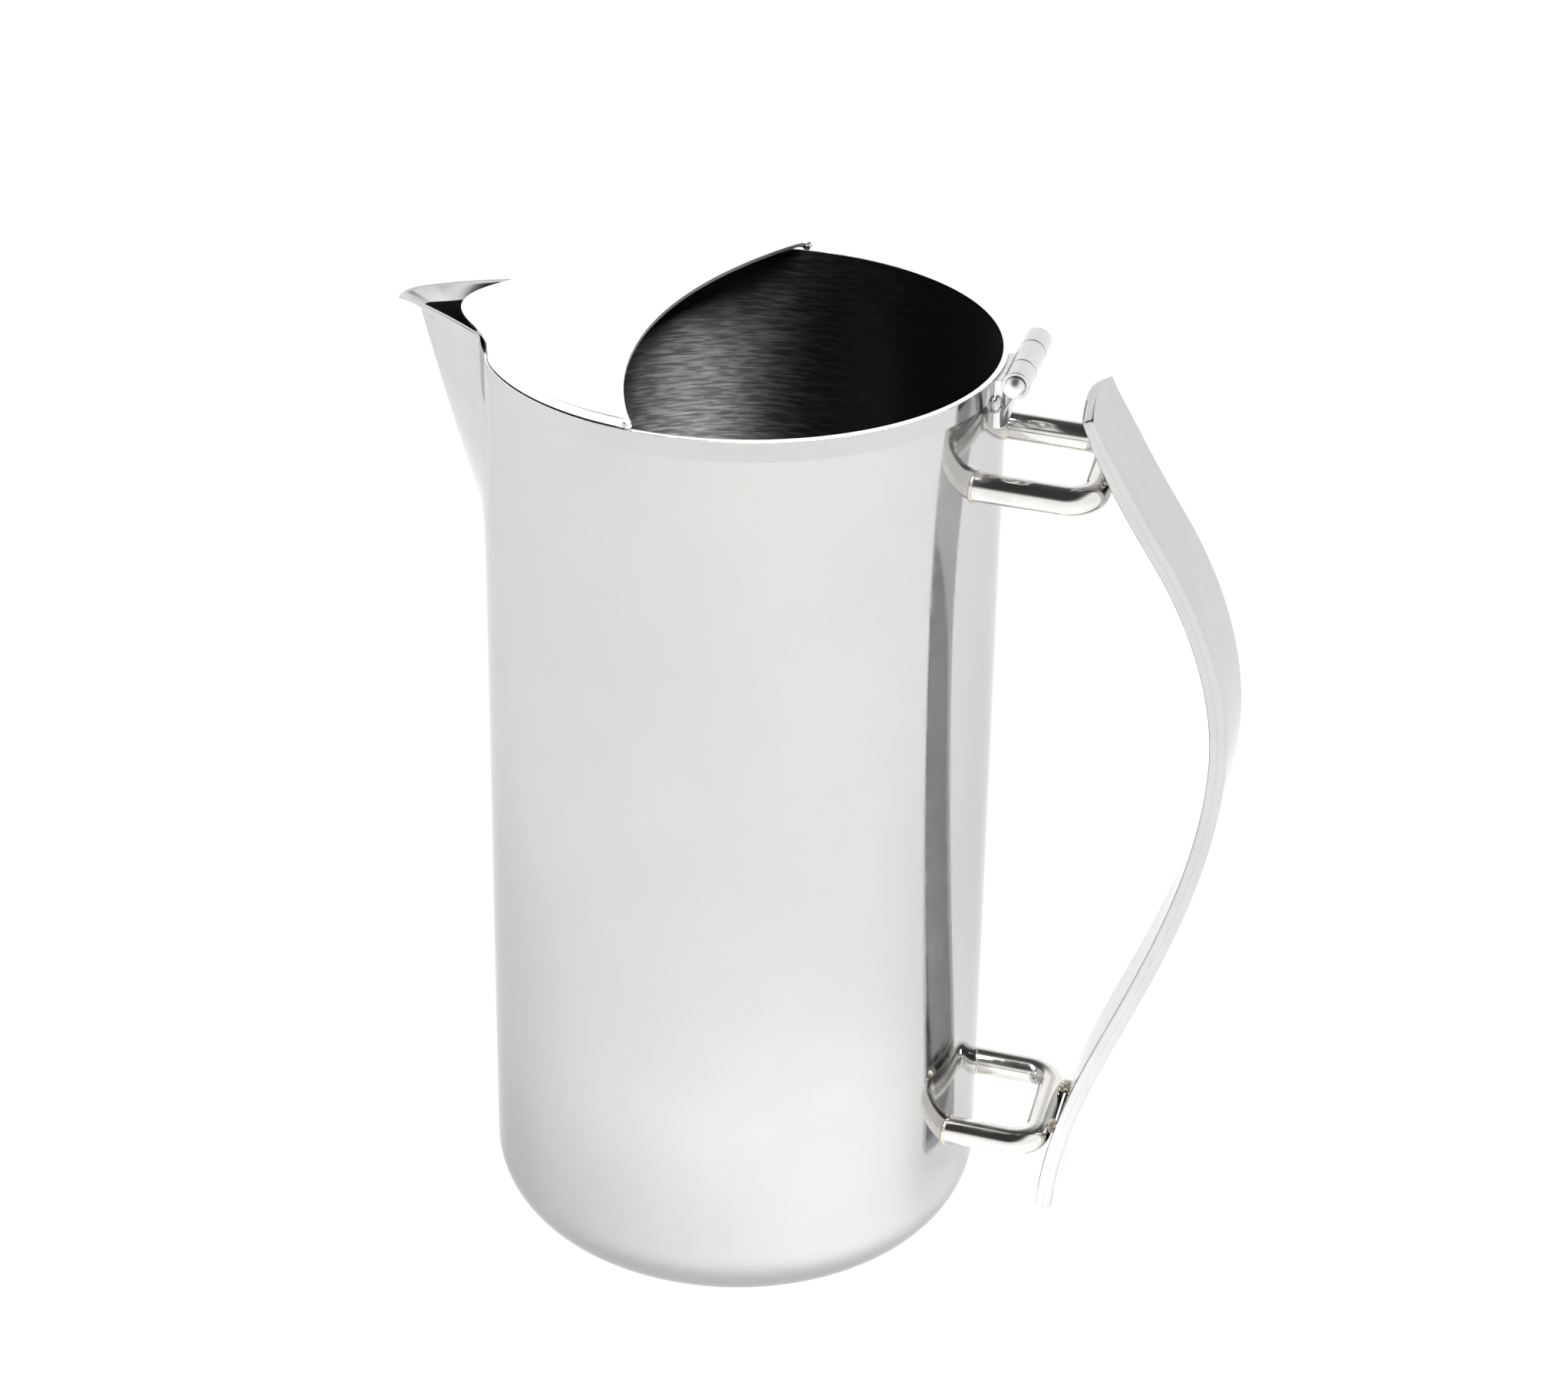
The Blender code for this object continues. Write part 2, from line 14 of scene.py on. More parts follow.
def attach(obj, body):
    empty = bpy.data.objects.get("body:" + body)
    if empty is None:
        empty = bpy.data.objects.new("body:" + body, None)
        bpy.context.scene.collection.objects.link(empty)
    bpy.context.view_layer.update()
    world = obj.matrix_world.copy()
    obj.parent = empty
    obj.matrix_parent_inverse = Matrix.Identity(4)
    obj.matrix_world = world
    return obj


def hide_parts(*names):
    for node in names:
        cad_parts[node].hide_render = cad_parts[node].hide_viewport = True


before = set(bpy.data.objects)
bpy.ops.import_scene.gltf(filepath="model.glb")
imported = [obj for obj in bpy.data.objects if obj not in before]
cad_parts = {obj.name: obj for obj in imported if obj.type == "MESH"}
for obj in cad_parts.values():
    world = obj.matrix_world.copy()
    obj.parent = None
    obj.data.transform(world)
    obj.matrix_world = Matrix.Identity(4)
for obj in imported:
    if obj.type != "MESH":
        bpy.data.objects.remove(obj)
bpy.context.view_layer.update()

MM = 0.001
PITCHER = "pitcher"
BARREL = "hinge_barrel"

# Camera: a little above the mouth, turned off the handle's plane.
CAMERA_PLACE = Vector((197.1, -814.6, 555.7)) * MM
CAMERA_HEADING = math.radians(102.926)
CAMERA_PITCH = math.radians(26.75)
CAMERA_ROLL = math.radians(0.938)
CAMERA_LENS = 94.107
SENSOR_WIDTH = 36.0

# Body.
RIM_RADIUS = 58.0 * MM
FOOT_RADIUS = 57.2 * MM
BODY_HEIGHT = 221.5 * MM
BASE_FLAT_RADIUS = 35.6 * MM
BASE_CURVE_HEIGHT = 18.9 * MM
SHEET = 1.0 * MM
HEM = 1.3 * MM                      # thickness of the folded edge at the mouth
HEM_DEPTH = 4.0 * MM
BODY_SEGMENTS = 384

# Spout.
SPOUT_FOOT_Z = 167.0 * MM
SPOUT_BEND_Z = 221.0 * MM
SPOUT_FRONT_X = -74.4 * MM
SPOUT_LEAN = 0.2918
SPOUT_HALF_ANGLE = math.radians(42.5)   # at the crease; lower down the sides leave the wall tangentially
SPOUT_TANGENT_Z = 208.0 * MM
SPOUT_TANGENT_INSET = 0.3 * MM
SPOUT_RIDGE_RADIUS = 4.0 * MM
LIP_HALF_ANGLE = math.radians(33.6)
LIP_RIDGE_RADIUS = 4.5 * MM
LIP_REACH = 4.85 * MM
CREASE_Z = 221.9 * MM               # the lip's crease, at the ridge
CREASE_FALL = 0.17                  # how fast the crease drops towards the body
CREASE_SLOPE_FROM_Z = 200.0 * MM    # where the wall's level sections start to tilt to the crease's slope
LIP_Z = 224.15 * MM                 # highest line of the lip
LIP_TIP_DROP = 0.75 * MM
SPOUT_HALF_COUNT = 48               # points on each side of a section's middle
SPOUT_FILLET = 1.2 * MM             # how far off the wall the spout's sides start to blend into it
SEAM_ANGLE = math.radians(33.0)     # how far round the wall the spout's sheet laps
SEAM_LIP_TURN = math.radians(6.0)   # and how much less it does at the lip
SEAM_ROUND = 34.0 * MM              # height of the lap's rounded lower end
SEAM_SWELL_RISE = 12.0 * MM         # height over which the sheet comes off the wall
THROAT_FOOT_Z = 175.0 * MM

# Ice guard.
GUARD_TOP_Z = BODY_HEIGHT + 2.5 * MM
GUARD_SHEET = 1.0 * MM
GUARD_NEAR_CORNER = math.radians(259.5)
GUARD_FAR_CORNER = math.radians(88.0)
GUARD_REAR_SAGITTA = 15.6 * MM
TONGUE_REACH = 6.4 * MM
TONGUE_HALF_ANGLE = math.radians(19.5)
NECK_DEPTH = 0.85 * MM              # how far the plate draws in where the tongue leaves the rim
SKIRT_START = math.radians(22.0)
SKIRT_GAP = 0.40 * MM               # open line between the skirt and the rim
GUARD_RIM_STEPS = 360
GUARD_EDGE_RADIUS = 0.25 * MM

# Hinge.
HINGE_X = 62.8 * MM
HINGE_Z = 222.3 * MM
BARREL_RADIUS = 3.1 * MM
BARREL_HALF_LENGTH = 13.7 * MM
KNUCKLE_HALF_WIDTH = 5.75 * MM      # the fixed middle knuckle
KNUCKLE_GAP = 0.3 * MM
LEAF_HALF_WIDTH = 8.5 * MM          # the plate under it
LEAF_TOP_Z = 220.8 * MM
LEAF_FOOT_Z = 208.0 * MM
LEAF_FOOT_RISE = 1.9 * MM           # how much higher the plate's bottom corners are than its middle
BORE_RADIUS = 1.5 * MM
BALL_RADIUS = 2.2 * MM
BALL_STAND_OUT = 0.5 * MM
BALL_DIMPLE = 0.03 * MM
SEAT_DEPTH = 2.4 * MM

# Brackets.
ROD_RADIUS = 3.25 * MM
ROD_HALF_SPACING = 16.0 * MM
BEND_RADIUS = 6.5 * MM
UPPER_ROD = {"body_z": 199.9 * MM, "bar_x": 80.8 * MM, "bar_z": 198.4 * MM, "tilt": 0.75 * MM}
LOWER_ROD = {"body_z": 35.1 * MM, "bar_x": 74.8 * MM, "bar_z": 33.7 * MM, "tilt": 0.0}

# Handle strap: x, z and lean from the vertical in degrees at each knot.
HANDLE_KNOTS = [
    (78.6, 215.5, 24.0),
    (96.0, 184.5, 32.7),
    (111.2, 135.5, -1.6),
    (91.0, 63.5, -22.8),
    (77.6, 14.6, -1.4),
]
HANDLE_HALF_WIDTH = 13.0 * MM
HANDLE_HALF_THICKNESS = 1.92 * MM
HANDLE_SEAM = 0.012 * MM            # half the width of the line between the two shells


# ---------------------------------------------------------------- mesh helpers

def add_piece(name, mesh, body, nodes, materials, sharp=32.0):
    """Turn a bmesh in frame coordinates into a piece that rides on a body and stands for CAD nodes."""
    bmesh.ops.recalc_face_normals(mesh, faces=mesh.faces)
    data = bpy.data.meshes.new(name)
    mesh.to_mesh(data)
    mesh.free()
    data.shade_smooth()
    data.set_sharp_from_angle(angle=math.radians(sharp))
    for finish in materials:
        data.materials.append(finish)
    made = bpy.data.objects.new(name, data)
    bpy.context.collection.objects.link(made)
    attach(made, body)
    if nodes:
        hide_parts(*nodes)
    return made


def skin(rings, around=False, cap="strip"):
    """Skin a list of equal closed rings. around joins the last ring to the first.

    A strip cap closes an end by joining each point to the one opposite it in the ring, and a fan
    cap closes it with one face.
    """
    mesh = bmesh.new()
    made = [[mesh.verts.new(point) for point in ring] for ring in rings]
    count = len(made[0])
    pairs = list(zip(made, made[1:]))
    if around:
        pairs.append((made[-1], made[0]))
    for low, high in pairs:
        for i in range(count):
            j = (i + 1) % count
            mesh.faces.new((low[i], low[j], high[j], high[i]))
    if around:
        return mesh
    for ring in (made[0], made[-1]):
        if cap == "strip":
            for i in range(count // 2 - 1):
                mesh.faces.new((ring[i], ring[i + 1], ring[count - 2 - i], ring[count - 1 - i]))
        elif cap == "fan":
            mesh.faces.new(ring)
    return mesh


def arc(centre, radius, start, end, steps):
    """Points of an arc in a plane, angles in degrees."""
    points = []
    for i in range(steps + 1):
        angle = math.radians(start + (end - start) * i / steps)
        points.append((centre[0] + radius * math.cos(angle), centre[1] + radius * math.sin(angle)))
    return points


def smooth_step(value):
    value = min(max(value, 0.0), 1.0)
    return value * value * (3.0 - 2.0 * value)


def ripple(a, b, seed):
    """A smooth repeatable unevenness between about -1 and 1, for hand-made welds."""
    return (math.sin(3.1 * a + 1.7 * b + seed) + math.sin(5.3 * a - 2.9 * b + 2.3 * seed)
            + math.sin(8.7 * a + 4.1 * b + 0.7 * seed)) / 3.0


# ---------------------------------------------------------------- materials

def add_node(tree, kind, inputs=None, **settings):
    node = tree.nodes.new(kind)
    for key, value in settings.items():
        setattr(node, key, value)
    for key, value in (inputs or {}).items():
        node.inputs[key].default_value = value
    return node


def place_nodes(tree, stretch=(1.0, 1.0, 1.0)):
    """The object's own coordinates, stretched."""
    coordinates = add_node(tree, "ShaderNodeTexCoord")
    mapping = add_node(tree, "ShaderNodeMapping", {"Scale": stretch})
    tree.links.new(coordinates.outputs["Object"], mapping.inputs["Vector"])
    return mapping.outputs["Vector"]


def noise_between(tree, vector, scale, detail, low, high, near=0.35, far=0.65):
    """Noise that runs from low to high."""
    noise = add_node(tree, "ShaderNodeTexNoise", {"Scale": scale, "Detail": detail, "Roughness": 0.55})
    tree.links.new(vector, noise.inputs["Vector"])
    ranged = add_node(tree, "ShaderNodeMapRange",
                      {"From Min": near, "From Max": far, "To Min": low, "To Max": high},
                      interpolation_type="SMOOTHSTEP")
    tree.links.new(noise.outputs["Fac"], ranged.inputs["Value"])
    return ranged.outputs["Result"]


def mix_colours(tree, factor, first, second):
    mix = add_node(tree, "ShaderNodeMix", data_type="RGBA")
    tree.links.new(factor, mix.inputs["Factor"])
    mix.inputs["A"].default_value = (*first, 1.0)
    mix.inputs["B"].default_value = (*second, 1.0)
    return mix.outputs["Result"]


def multiply(tree, values):
    """The product of several values."""
    total = values[0]
    for value in values[1:]:
        product = add_node(tree, "ShaderNodeMath", operation="MULTIPLY")
        tree.links.new(total, product.inputs[0])
        tree.links.new(value, product.inputs[1])
        total = product.outputs["Value"]
    return total


def steel(name, cool, warm, rough, patch_scale=60.0, patch_stretch=(1.0, 1.0, 1.0),
          grain=(1.0, 1.0, 1.0), grain_scale=900.0, grain_depth=0.0, anisotropy=0.0, turn=0.0,
          turned_in=None, edge_tint=0.95, foot=None):
    """Metal with cloudy tone patches, uneven gloss, and a fine grain in its surface.

    cool and warm are the two tones of the patches, rough the lowest and highest roughness.
    turned_in is a band of heights, and how far the surface curls in over it.
    foot is a band of heights over which the tone rises to full, and its share at the bottom: painted shade,
    darker towards the foot, standing in for the contact shadow reflected there.
    """
    made = bpy.data.materials.new(name)
    made.use_nodes = True
    tree = made.node_tree
    shader = tree.nodes["Principled BSDF"]
    shader.inputs["Metallic"].default_value = 1.0
    shader.inputs["Specular Tint"].default_value = (edge_tint, edge_tint, edge_tint, 1.0)
    plain = place_nodes(tree, patch_stretch)
    patches = noise_between(tree, plain, patch_scale, 3.0, 0.0, 1.0)
    tone = mix_colours(tree, patches, cool, warm)
    # Painted shade: the tone is darkened towards the bottom of the surface.
    if foot:
        split = add_node(tree, "ShaderNodeSeparateXYZ")
        tree.links.new(place_nodes(tree), split.inputs["Vector"])
        painted_foot_shade = add_node(tree, "ShaderNodeMapRange",
                          {"From Min": foot[0], "From Max": foot[1], "To Min": foot[2], "To Max": 1.0},
                          interpolation_type="SMOOTHSTEP")
        tree.links.new(split.outputs["Z"], painted_foot_shade.inputs["Value"])
        scaled = add_node(tree, "ShaderNodeVectorMath", operation="SCALE")
        tree.links.new(tone, scaled.inputs[0])
        tree.links.new(painted_foot_shade.outputs["Result"], scaled.inputs["Scale"])
        tone = scaled.outputs["Vector"]
    tree.links.new(tone, shader.inputs["Base Color"])
    streaks = place_nodes(tree, grain)
    gloss = noise_between(tree, streaks, grain_scale * 0.2, 4.0, rough[0], rough[1])
    tree.links.new(gloss, shader.inputs["Roughness"])
    if grain_depth > 0.0:
        fine = noise_between(tree, streaks, grain_scale, 3.0, 0.0, 1.0, 0.2, 0.8)
        bump = add_node(tree, "ShaderNodeBump", {"Strength": 1.0, "Distance": grain_depth})
        tree.links.new(fine, bump.inputs["Height"])
        tree.links.new(bump.outputs["Normal"], shader.inputs["Normal"])
    if turned_in:
        split = add_node(tree, "ShaderNodeSeparateXYZ")
        tree.links.new(place_nodes(tree), split.inputs["Vector"])
        band = add_node(tree, "ShaderNodeMapRange", {"From Min": turned_in[0], "From Max": turned_in[1],
                                                     "To Min": 1.0, "To Max": 0.0})
        tree.links.new(split.outputs["Z"], band.inputs["Value"])
        curl = add_node(tree, "ShaderNodeBump", {"Strength": 1.0, "Distance": turned_in[2]})
        tree.links.new(band.outputs["Result"], curl.inputs["Height"])
        tree.links.new(curl.outputs["Normal"], shader.inputs["Normal"])
    if anisotropy > 0.0:
        shader.inputs["Anisotropic"].default_value = anisotropy
        shader.inputs["Anisotropic Rotation"].default_value = turn
        tangent = add_node(tree, "ShaderNodeTangent", direction_type="RADIAL", axis="Z")
        tree.links.new(tangent.outputs["Tangent"], shader.inputs["Tangent"])
    return made


def make_materials():
    return {
        # The wall's foot band is painted shade, darker towards the base.
        "wall": steel("wall_steel", (0.548, 0.551, 0.562), (0.578, 0.573, 0.562), (0.05, 0.10),
                      patch_scale=16.0, turned_in=(216.8 * MM, 221.2 * MM, 0.85 * MM), edge_tint=0.78,
                      foot=(10.0 * MM, 62.0 * MM, 0.74)),
        "mirror": steel("mirror_steel", (0.55, 0.555, 0.565), (0.585, 0.58, 0.57), (0.05, 0.10),
                        edge_tint=0.80),
        "lip": steel("lip_steel", (0.62, 0.62, 0.62), (0.66, 0.66, 0.655), (0.26, 0.32)),
        # Painted highlight: the guard steel is a much paler copy of the steel, for the bright sheen on the
        # guard plate and along the rim's top.
        "plate": steel("painted_highlight_guard_steel", (0.90, 0.90, 0.90), (0.93, 0.93, 0.93), (0.12, 0.18)),
        "strap": steel("strap_steel", (0.53, 0.535, 0.545), (0.56, 0.558, 0.55), (0.05, 0.10),
                       edge_tint=0.80),
        "barrel": steel("barrel_steel", (0.60, 0.605, 0.62), (0.63, 0.63, 0.63), (0.16, 0.24),
                        patch_scale=90.0),
        "ball": steel("ball_steel", (0.74, 0.74, 0.74), (0.80, 0.80, 0.79), (0.36, 0.46),
                      patch_scale=200.0),
        "rod": steel("rod_steel", (0.68, 0.665, 0.64), (0.76, 0.74, 0.70), (0.07, 0.14),
                     patch_scale=90.0),
        # Painted shade: the inside steel is near-black, standing in for the shade inside the body, down the
        # spout's throat and in the hinge's gaps.
        "inside": steel("painted_shade_inside_steel", (0.045, 0.045, 0.045), (0.06, 0.06, 0.06), (0.18, 0.23),
                        patch_scale=150.0, patch_stretch=(1.0, 1.0, 9.0), grain=(1.0, 1.0, 9.0),
                        grain_scale=1000.0, grain_depth=0.0000002, anisotropy=0.9, turn=0.25),
        "weld": steel("weld_steel", (0.62, 0.56, 0.45), (0.66, 0.64, 0.60), (0.08, 0.20),
                      patch_scale=500.0, grain_scale=1200.0, grain_depth=0.00001),
    }


# ---------------------------------------------------------------- body

def wall_radius(z):
    share = (z - BASE_CURVE_HEIGHT) / (BODY_HEIGHT - BASE_CURVE_HEIGHT)
    return FOOT_RADIUS + (RIM_RADIUS - FOOT_RADIUS) * share


def spout_x(y, front, half_angle, ridge_radius):
    """X of a V-shaped section with a rounded ridge, at a distance y from the middle."""
    y = abs(y)
    round_end = ridge_radius * math.cos(half_angle)
    centre = front + ridge_radius
    if y <= round_end:
        return centre - math.sqrt(ridge_radius ** 2 - y ** 2)
    return centre - ridge_radius * math.sin(half_angle) + (y - round_end) / math.tan(half_angle)


def spout_reach(front, half_angle, ridge_radius, radius):
    """Half width at which the V meets a circle of the given radius, or 0 if it stays inside."""
    if -front <= radius:
        return 0.0
    low = 0.0
    high = radius * math.cos(half_angle)
    for _ in range(40):
        y = 0.5 * (low + high)
        if spout_x(y, front, half_angle, ridge_radius) ** 2 + y ** 2 > radius ** 2:
            low = y
        else:
            high = y
    return low


def spout_front(z):
    return SPOUT_FRONT_X - SPOUT_LEAN * (z - SPOUT_BEND_Z)


def spout_half_angle(z):
    """Half angle of the V at a height: nearly tangent to the wall, drawn in towards the crease."""
    centre = -spout_front(z) - SPOUT_RIDGE_RADIUS
    ratio = (wall_radius(z) - SPOUT_TANGENT_INSET - SPOUT_RIDGE_RADIUS) / centre
    tangent = math.asin(min(ratio, 0.985))
    share = smooth_step((z - SPOUT_TANGENT_Z) / (SPOUT_BEND_Z - SPOUT_TANGENT_Z))
    return tangent + (SPOUT_HALF_ANGLE - tangent) * share


def throat_half_angle(z):
    """Half angle of the opening between the body and the spout at a height."""
    if z <= THROAT_FOOT_Z:
        return 0.0
    z = min(z, BODY_HEIGHT)
    inner_ridge = SPOUT_RIDGE_RADIUS - SHEET
    reach = spout_reach(spout_front(z) + SHEET, SPOUT_HALF_ANGLE, inner_ridge, wall_radius(z))
    return math.asin(max(reach - 0.2 * MM, 0.0) / wall_radius(z))


def base_curve(inset, steps):
    points = []
    for i in range(steps + 1):
        angle = 0.5 * math.pi * i / steps
        radius = BASE_FLAT_RADIUS + (FOOT_RADIUS - inset - BASE_FLAT_RADIUS) * math.sin(angle)
        points.append((radius, inset + (BASE_CURVE_HEIGHT - inset) * (1.0 - math.cos(angle))))
    return points


def body_profiles():
    """Outer and inner radius and height pairs from the base up to the middle of the rim's top."""
    curve_steps = 40
    kick = 0.35 * MM
    outer = [(1.0 * MM, kick), (29.0 * MM, kick), (30.5 * MM, 0.7 * kick), (31.5 * MM, 0.15 * kick),
             (33.0 * MM, 0.0)] + base_curve(0.0, curve_steps)
    inner = [(r, SHEET) for r, _ in outer[:5]] + base_curve(SHEET, curve_steps)
    low = BASE_CURVE_HEIGHT
    heights = [low + (THROAT_FOOT_Z - low) * i / 24 for i in range(1, 25)]
    top = BODY_HEIGHT - HEM_DEPTH
    heights += [THROAT_FOOT_Z + (top - THROAT_FOOT_Z) * i / 20 for i in range(1, 21)]
    for z in heights:
        outer.append((wall_radius(z), z))
        inner.append((wall_radius(z) - SHEET, z))
    corner = 0.16 * MM
    for share in (0.25, 0.5, 0.75, 0.96):
        z = top + (BODY_HEIGHT - top) * share
        outer.append((wall_radius(z), z))
        inner.append((wall_radius(z) - SHEET - (HEM - SHEET) * smooth_step(share * 1.5), z))
    outer += arc((RIM_RADIUS - corner, BODY_HEIGHT - corner), corner, 0.0, 90.0, 5)
    inner += arc((RIM_RADIUS - HEM + corner, BODY_HEIGHT - corner), corner, 180.0, 90.0, 5)
    outer.append((RIM_RADIUS - 0.35 * HEM, BODY_HEIGHT))
    inner.append((RIM_RADIUS - 0.65 * HEM, BODY_HEIGHT))
    return outer, inner


def body_row(mesh, radius, z):
    """One ring of points, open at the spout where the throat is open."""
    opening = throat_half_angle(z)
    row = []
    for i in range(BODY_SEGMENTS + 1):
        angle = math.pi + opening + (2.0 * math.pi - 2.0 * opening) * i / BODY_SEGMENTS
        row.append(mesh.verts.new((radius * math.cos(angle), radius * math.sin(angle), z)))
    return row


def make_body(finish):
    mesh = bmesh.new()
    outer, inner = body_profiles()
    outer_rows = [body_row(mesh, r, z) for r, z in outer]
    inner_rows = [body_row(mesh, r, z) for r, z in inner]
    rows = outer_rows + list(reversed(inner_rows))
    # Rows on the inside take the inside steel, near-black painted shade for the dark inside of the body.
    shaded_inside_from = len(outer_rows) + 5
    # The rim's rounded top takes the pale guard steel, a painted highlight along the rim.
    rim_highlight_from = len(outer_rows) - 5
    for index, (low, high) in enumerate(zip(rows, rows[1:])):
        for i in range(BODY_SEGMENTS):
            face = mesh.faces.new((low[i], low[i + 1], high[i + 1], high[i]))
            face.material_index = 1 if index >= shaded_inside_from else 2 if index >= rim_highlight_from else 0
    for k in range(len(outer) - 1):
        if outer[k + 1][1] <= THROAT_FOOT_Z + 0.01 * MM:
            continue
        for edge in (0, BODY_SEGMENTS):
            mesh.faces.new((outer_rows[k][edge], outer_rows[k + 1][edge],
                            inner_rows[k + 1][edge], inner_rows[k][edge]))
    for rows_end, index in ((outer_rows[0], 0), (inner_rows[0], 1)):
        face = mesh.faces.new(rows_end[:-1])
        face.material_index = index
    bmesh.ops.remove_doubles(mesh, verts=mesh.verts, dist=0.0005 * MM)
    loose = [v for v in mesh.verts if not v.link_faces]
    bmesh.ops.delete(mesh, geom=loose, context="VERTS")
    return add_piece("drawn_body", mesh, PITCHER, ["body_shell"],
                     [finish["wall"], finish["inside"], finish["plate"]])


# ---------------------------------------------------------------- spout

def crease_height(x):
    return CREASE_Z - CREASE_FALL * (x - SPOUT_FRONT_X)


def lip_height(x):
    """Height of the lip's top line: level along most of it, lower at the tip and towards the body."""
    back = (x + 75.0 * MM) / MM
    from_tip = x - (SPOUT_FRONT_X - LIP_REACH)
    return LIP_Z - 0.0035 * MM * back ** 2 - LIP_TIP_DROP * math.exp(-max(from_tip, 0.0) / (2.0 * MM))


def spout_ring(z, front, half_angle, ridge_radius, flare, thickness, lift=0.0, pull=0.0):
    """One closed section of the spout: outer face from near to far, inner face back.

    flare runs from 0 at the crease to 1 at the lip, and is below 0 for the wall under the crease.
    pull draws both faces towards the middle of the sheet, to round the lip's edge.
    """
    wall = wall_radius(min(z, BODY_HEIGHT))
    radius = wall - 0.1 * MM
    to_crease = smooth_step((z - SPOUT_TANGENT_Z) / (SPOUT_BEND_Z - SPOUT_TANGENT_Z))
    blend = SPOUT_FILLET * (1.0 - to_crease)
    from_foot = min((z - SPOUT_FOOT_Z) / SEAM_ROUND, 1.0)
    round_foot = math.sqrt(from_foot * (2.0 - from_foot))
    seam = wall * math.sin((SEAM_ANGLE - SEAM_LIP_TURN * max(flare, 0.0)) * round_foot)
    swell = 0.25 * blend * smooth_step((z - SPOUT_FOOT_Z) / SEAM_SWELL_RISE)
    shares = [math.copysign(abs(i / SPOUT_HALF_COUNT) ** 1.5, i)
              for i in range(-SPOUT_HALF_COUNT, SPOUT_HALF_COUNT + 1)]
    settled = smooth_step((z - CREASE_SLOPE_FROM_Z) / (SPOUT_BEND_Z - CREASE_SLOPE_FROM_Z))

    def height(x):
        if flare < 0.0:
            return z + settled * (crease_height(x) - SPOUT_BEND_Z)
        return crease_height(x) * (1.0 - flare) + lip_height(x) * flare + lift

    def face(start, round_radius):
        reach = max(spout_reach(start, half_angle, round_radius, radius), seam)
        points = []
        for share in shares:
            y = share * reach
            x = min(spout_x(y, start, half_angle, round_radius), -math.sqrt(radius ** 2 - y ** 2))
            points.append(Vector((x, y, height(x))))
        return points

    def blended_face(start, round_radius):
        """The outer face, run out tangentially onto the wall."""
        reach = max(spout_reach(start, half_angle, round_radius, radius), seam)
        points = []
        for share in shares:
            y = share * reach
            fold = spout_x(y, start, half_angle, round_radius)
            drum = -math.sqrt((wall + 0.02 * MM) ** 2 - y ** 2)
            near = max(blend - abs(fold - drum), 0.0) / max(blend, 0.001 * MM)
            x = min(fold, drum) - swell * near ** 2 * smooth_step(3.0 * (1.0 - abs(share)))
            points.append(Vector((x, y, height(x))))
        return points

    outer = blended_face(front, ridge_radius)
    inner = face(front + thickness, ridge_radius - thickness)
    middle = [0.5 * (a + b) for a, b in zip(outer, inner)]
    outer = [a.lerp(m, pull) for a, m in zip(outer, middle)]
    inner = [a.lerp(m, pull) for a, m in zip(inner, middle)]
    return outer + list(reversed(inner))


def make_spout(finish):
    """The folded spout; its inner face below the crease has the body's inside finish, near-black painted
    shade.
    """
    rings = []
    wall_steps = 40
    for i in range(wall_steps):
        z = SPOUT_FOOT_Z + (SPOUT_BEND_Z - SPOUT_FOOT_Z) * i / wall_steps
        rings.append(spout_ring(z, spout_front(z), spout_half_angle(z), SPOUT_RIDGE_RADIUS, -1.0, SHEET))
    lip_steps = 14
    for i in range(lip_steps + 1):
        rise = i / lip_steps
        thickness = SHEET + 0.3 * MM * smooth_step(rise)
        half_angle = SPOUT_HALF_ANGLE + (LIP_HALF_ANGLE - SPOUT_HALF_ANGLE) * rise
        ridge_radius = SPOUT_RIDGE_RADIUS + (LIP_RIDGE_RADIUS - SPOUT_RIDGE_RADIUS) * rise
        settings = (SPOUT_BEND_Z + rise * MM, SPOUT_FRONT_X - LIP_REACH * rise,
                    half_angle, ridge_radius, rise, thickness)
        rings.append(spout_ring(*settings))
    for lift, pull in ((0.12, 0.10), (0.22, 0.28), (0.28, 0.52), (0.30, 0.8)):
        rings.append(spout_ring(*settings, lift=lift * MM, pull=pull))
    mesh = skin(rings)
    count = len(rings[0])
    inner_from = 2 * SPOUT_HALF_COUNT + 1
    for index, made in enumerate(mesh.faces):
        if inner_from <= index % count < count - 1:
            made.material_index = 1 if index // count < wall_steps else 2
    return add_piece("folded_spout", mesh, PITCHER, ["spout"],
                     [finish["mirror"], finish["inside"], finish["lip"]], 28.0)


# ---------------------------------------------------------------- ice guard

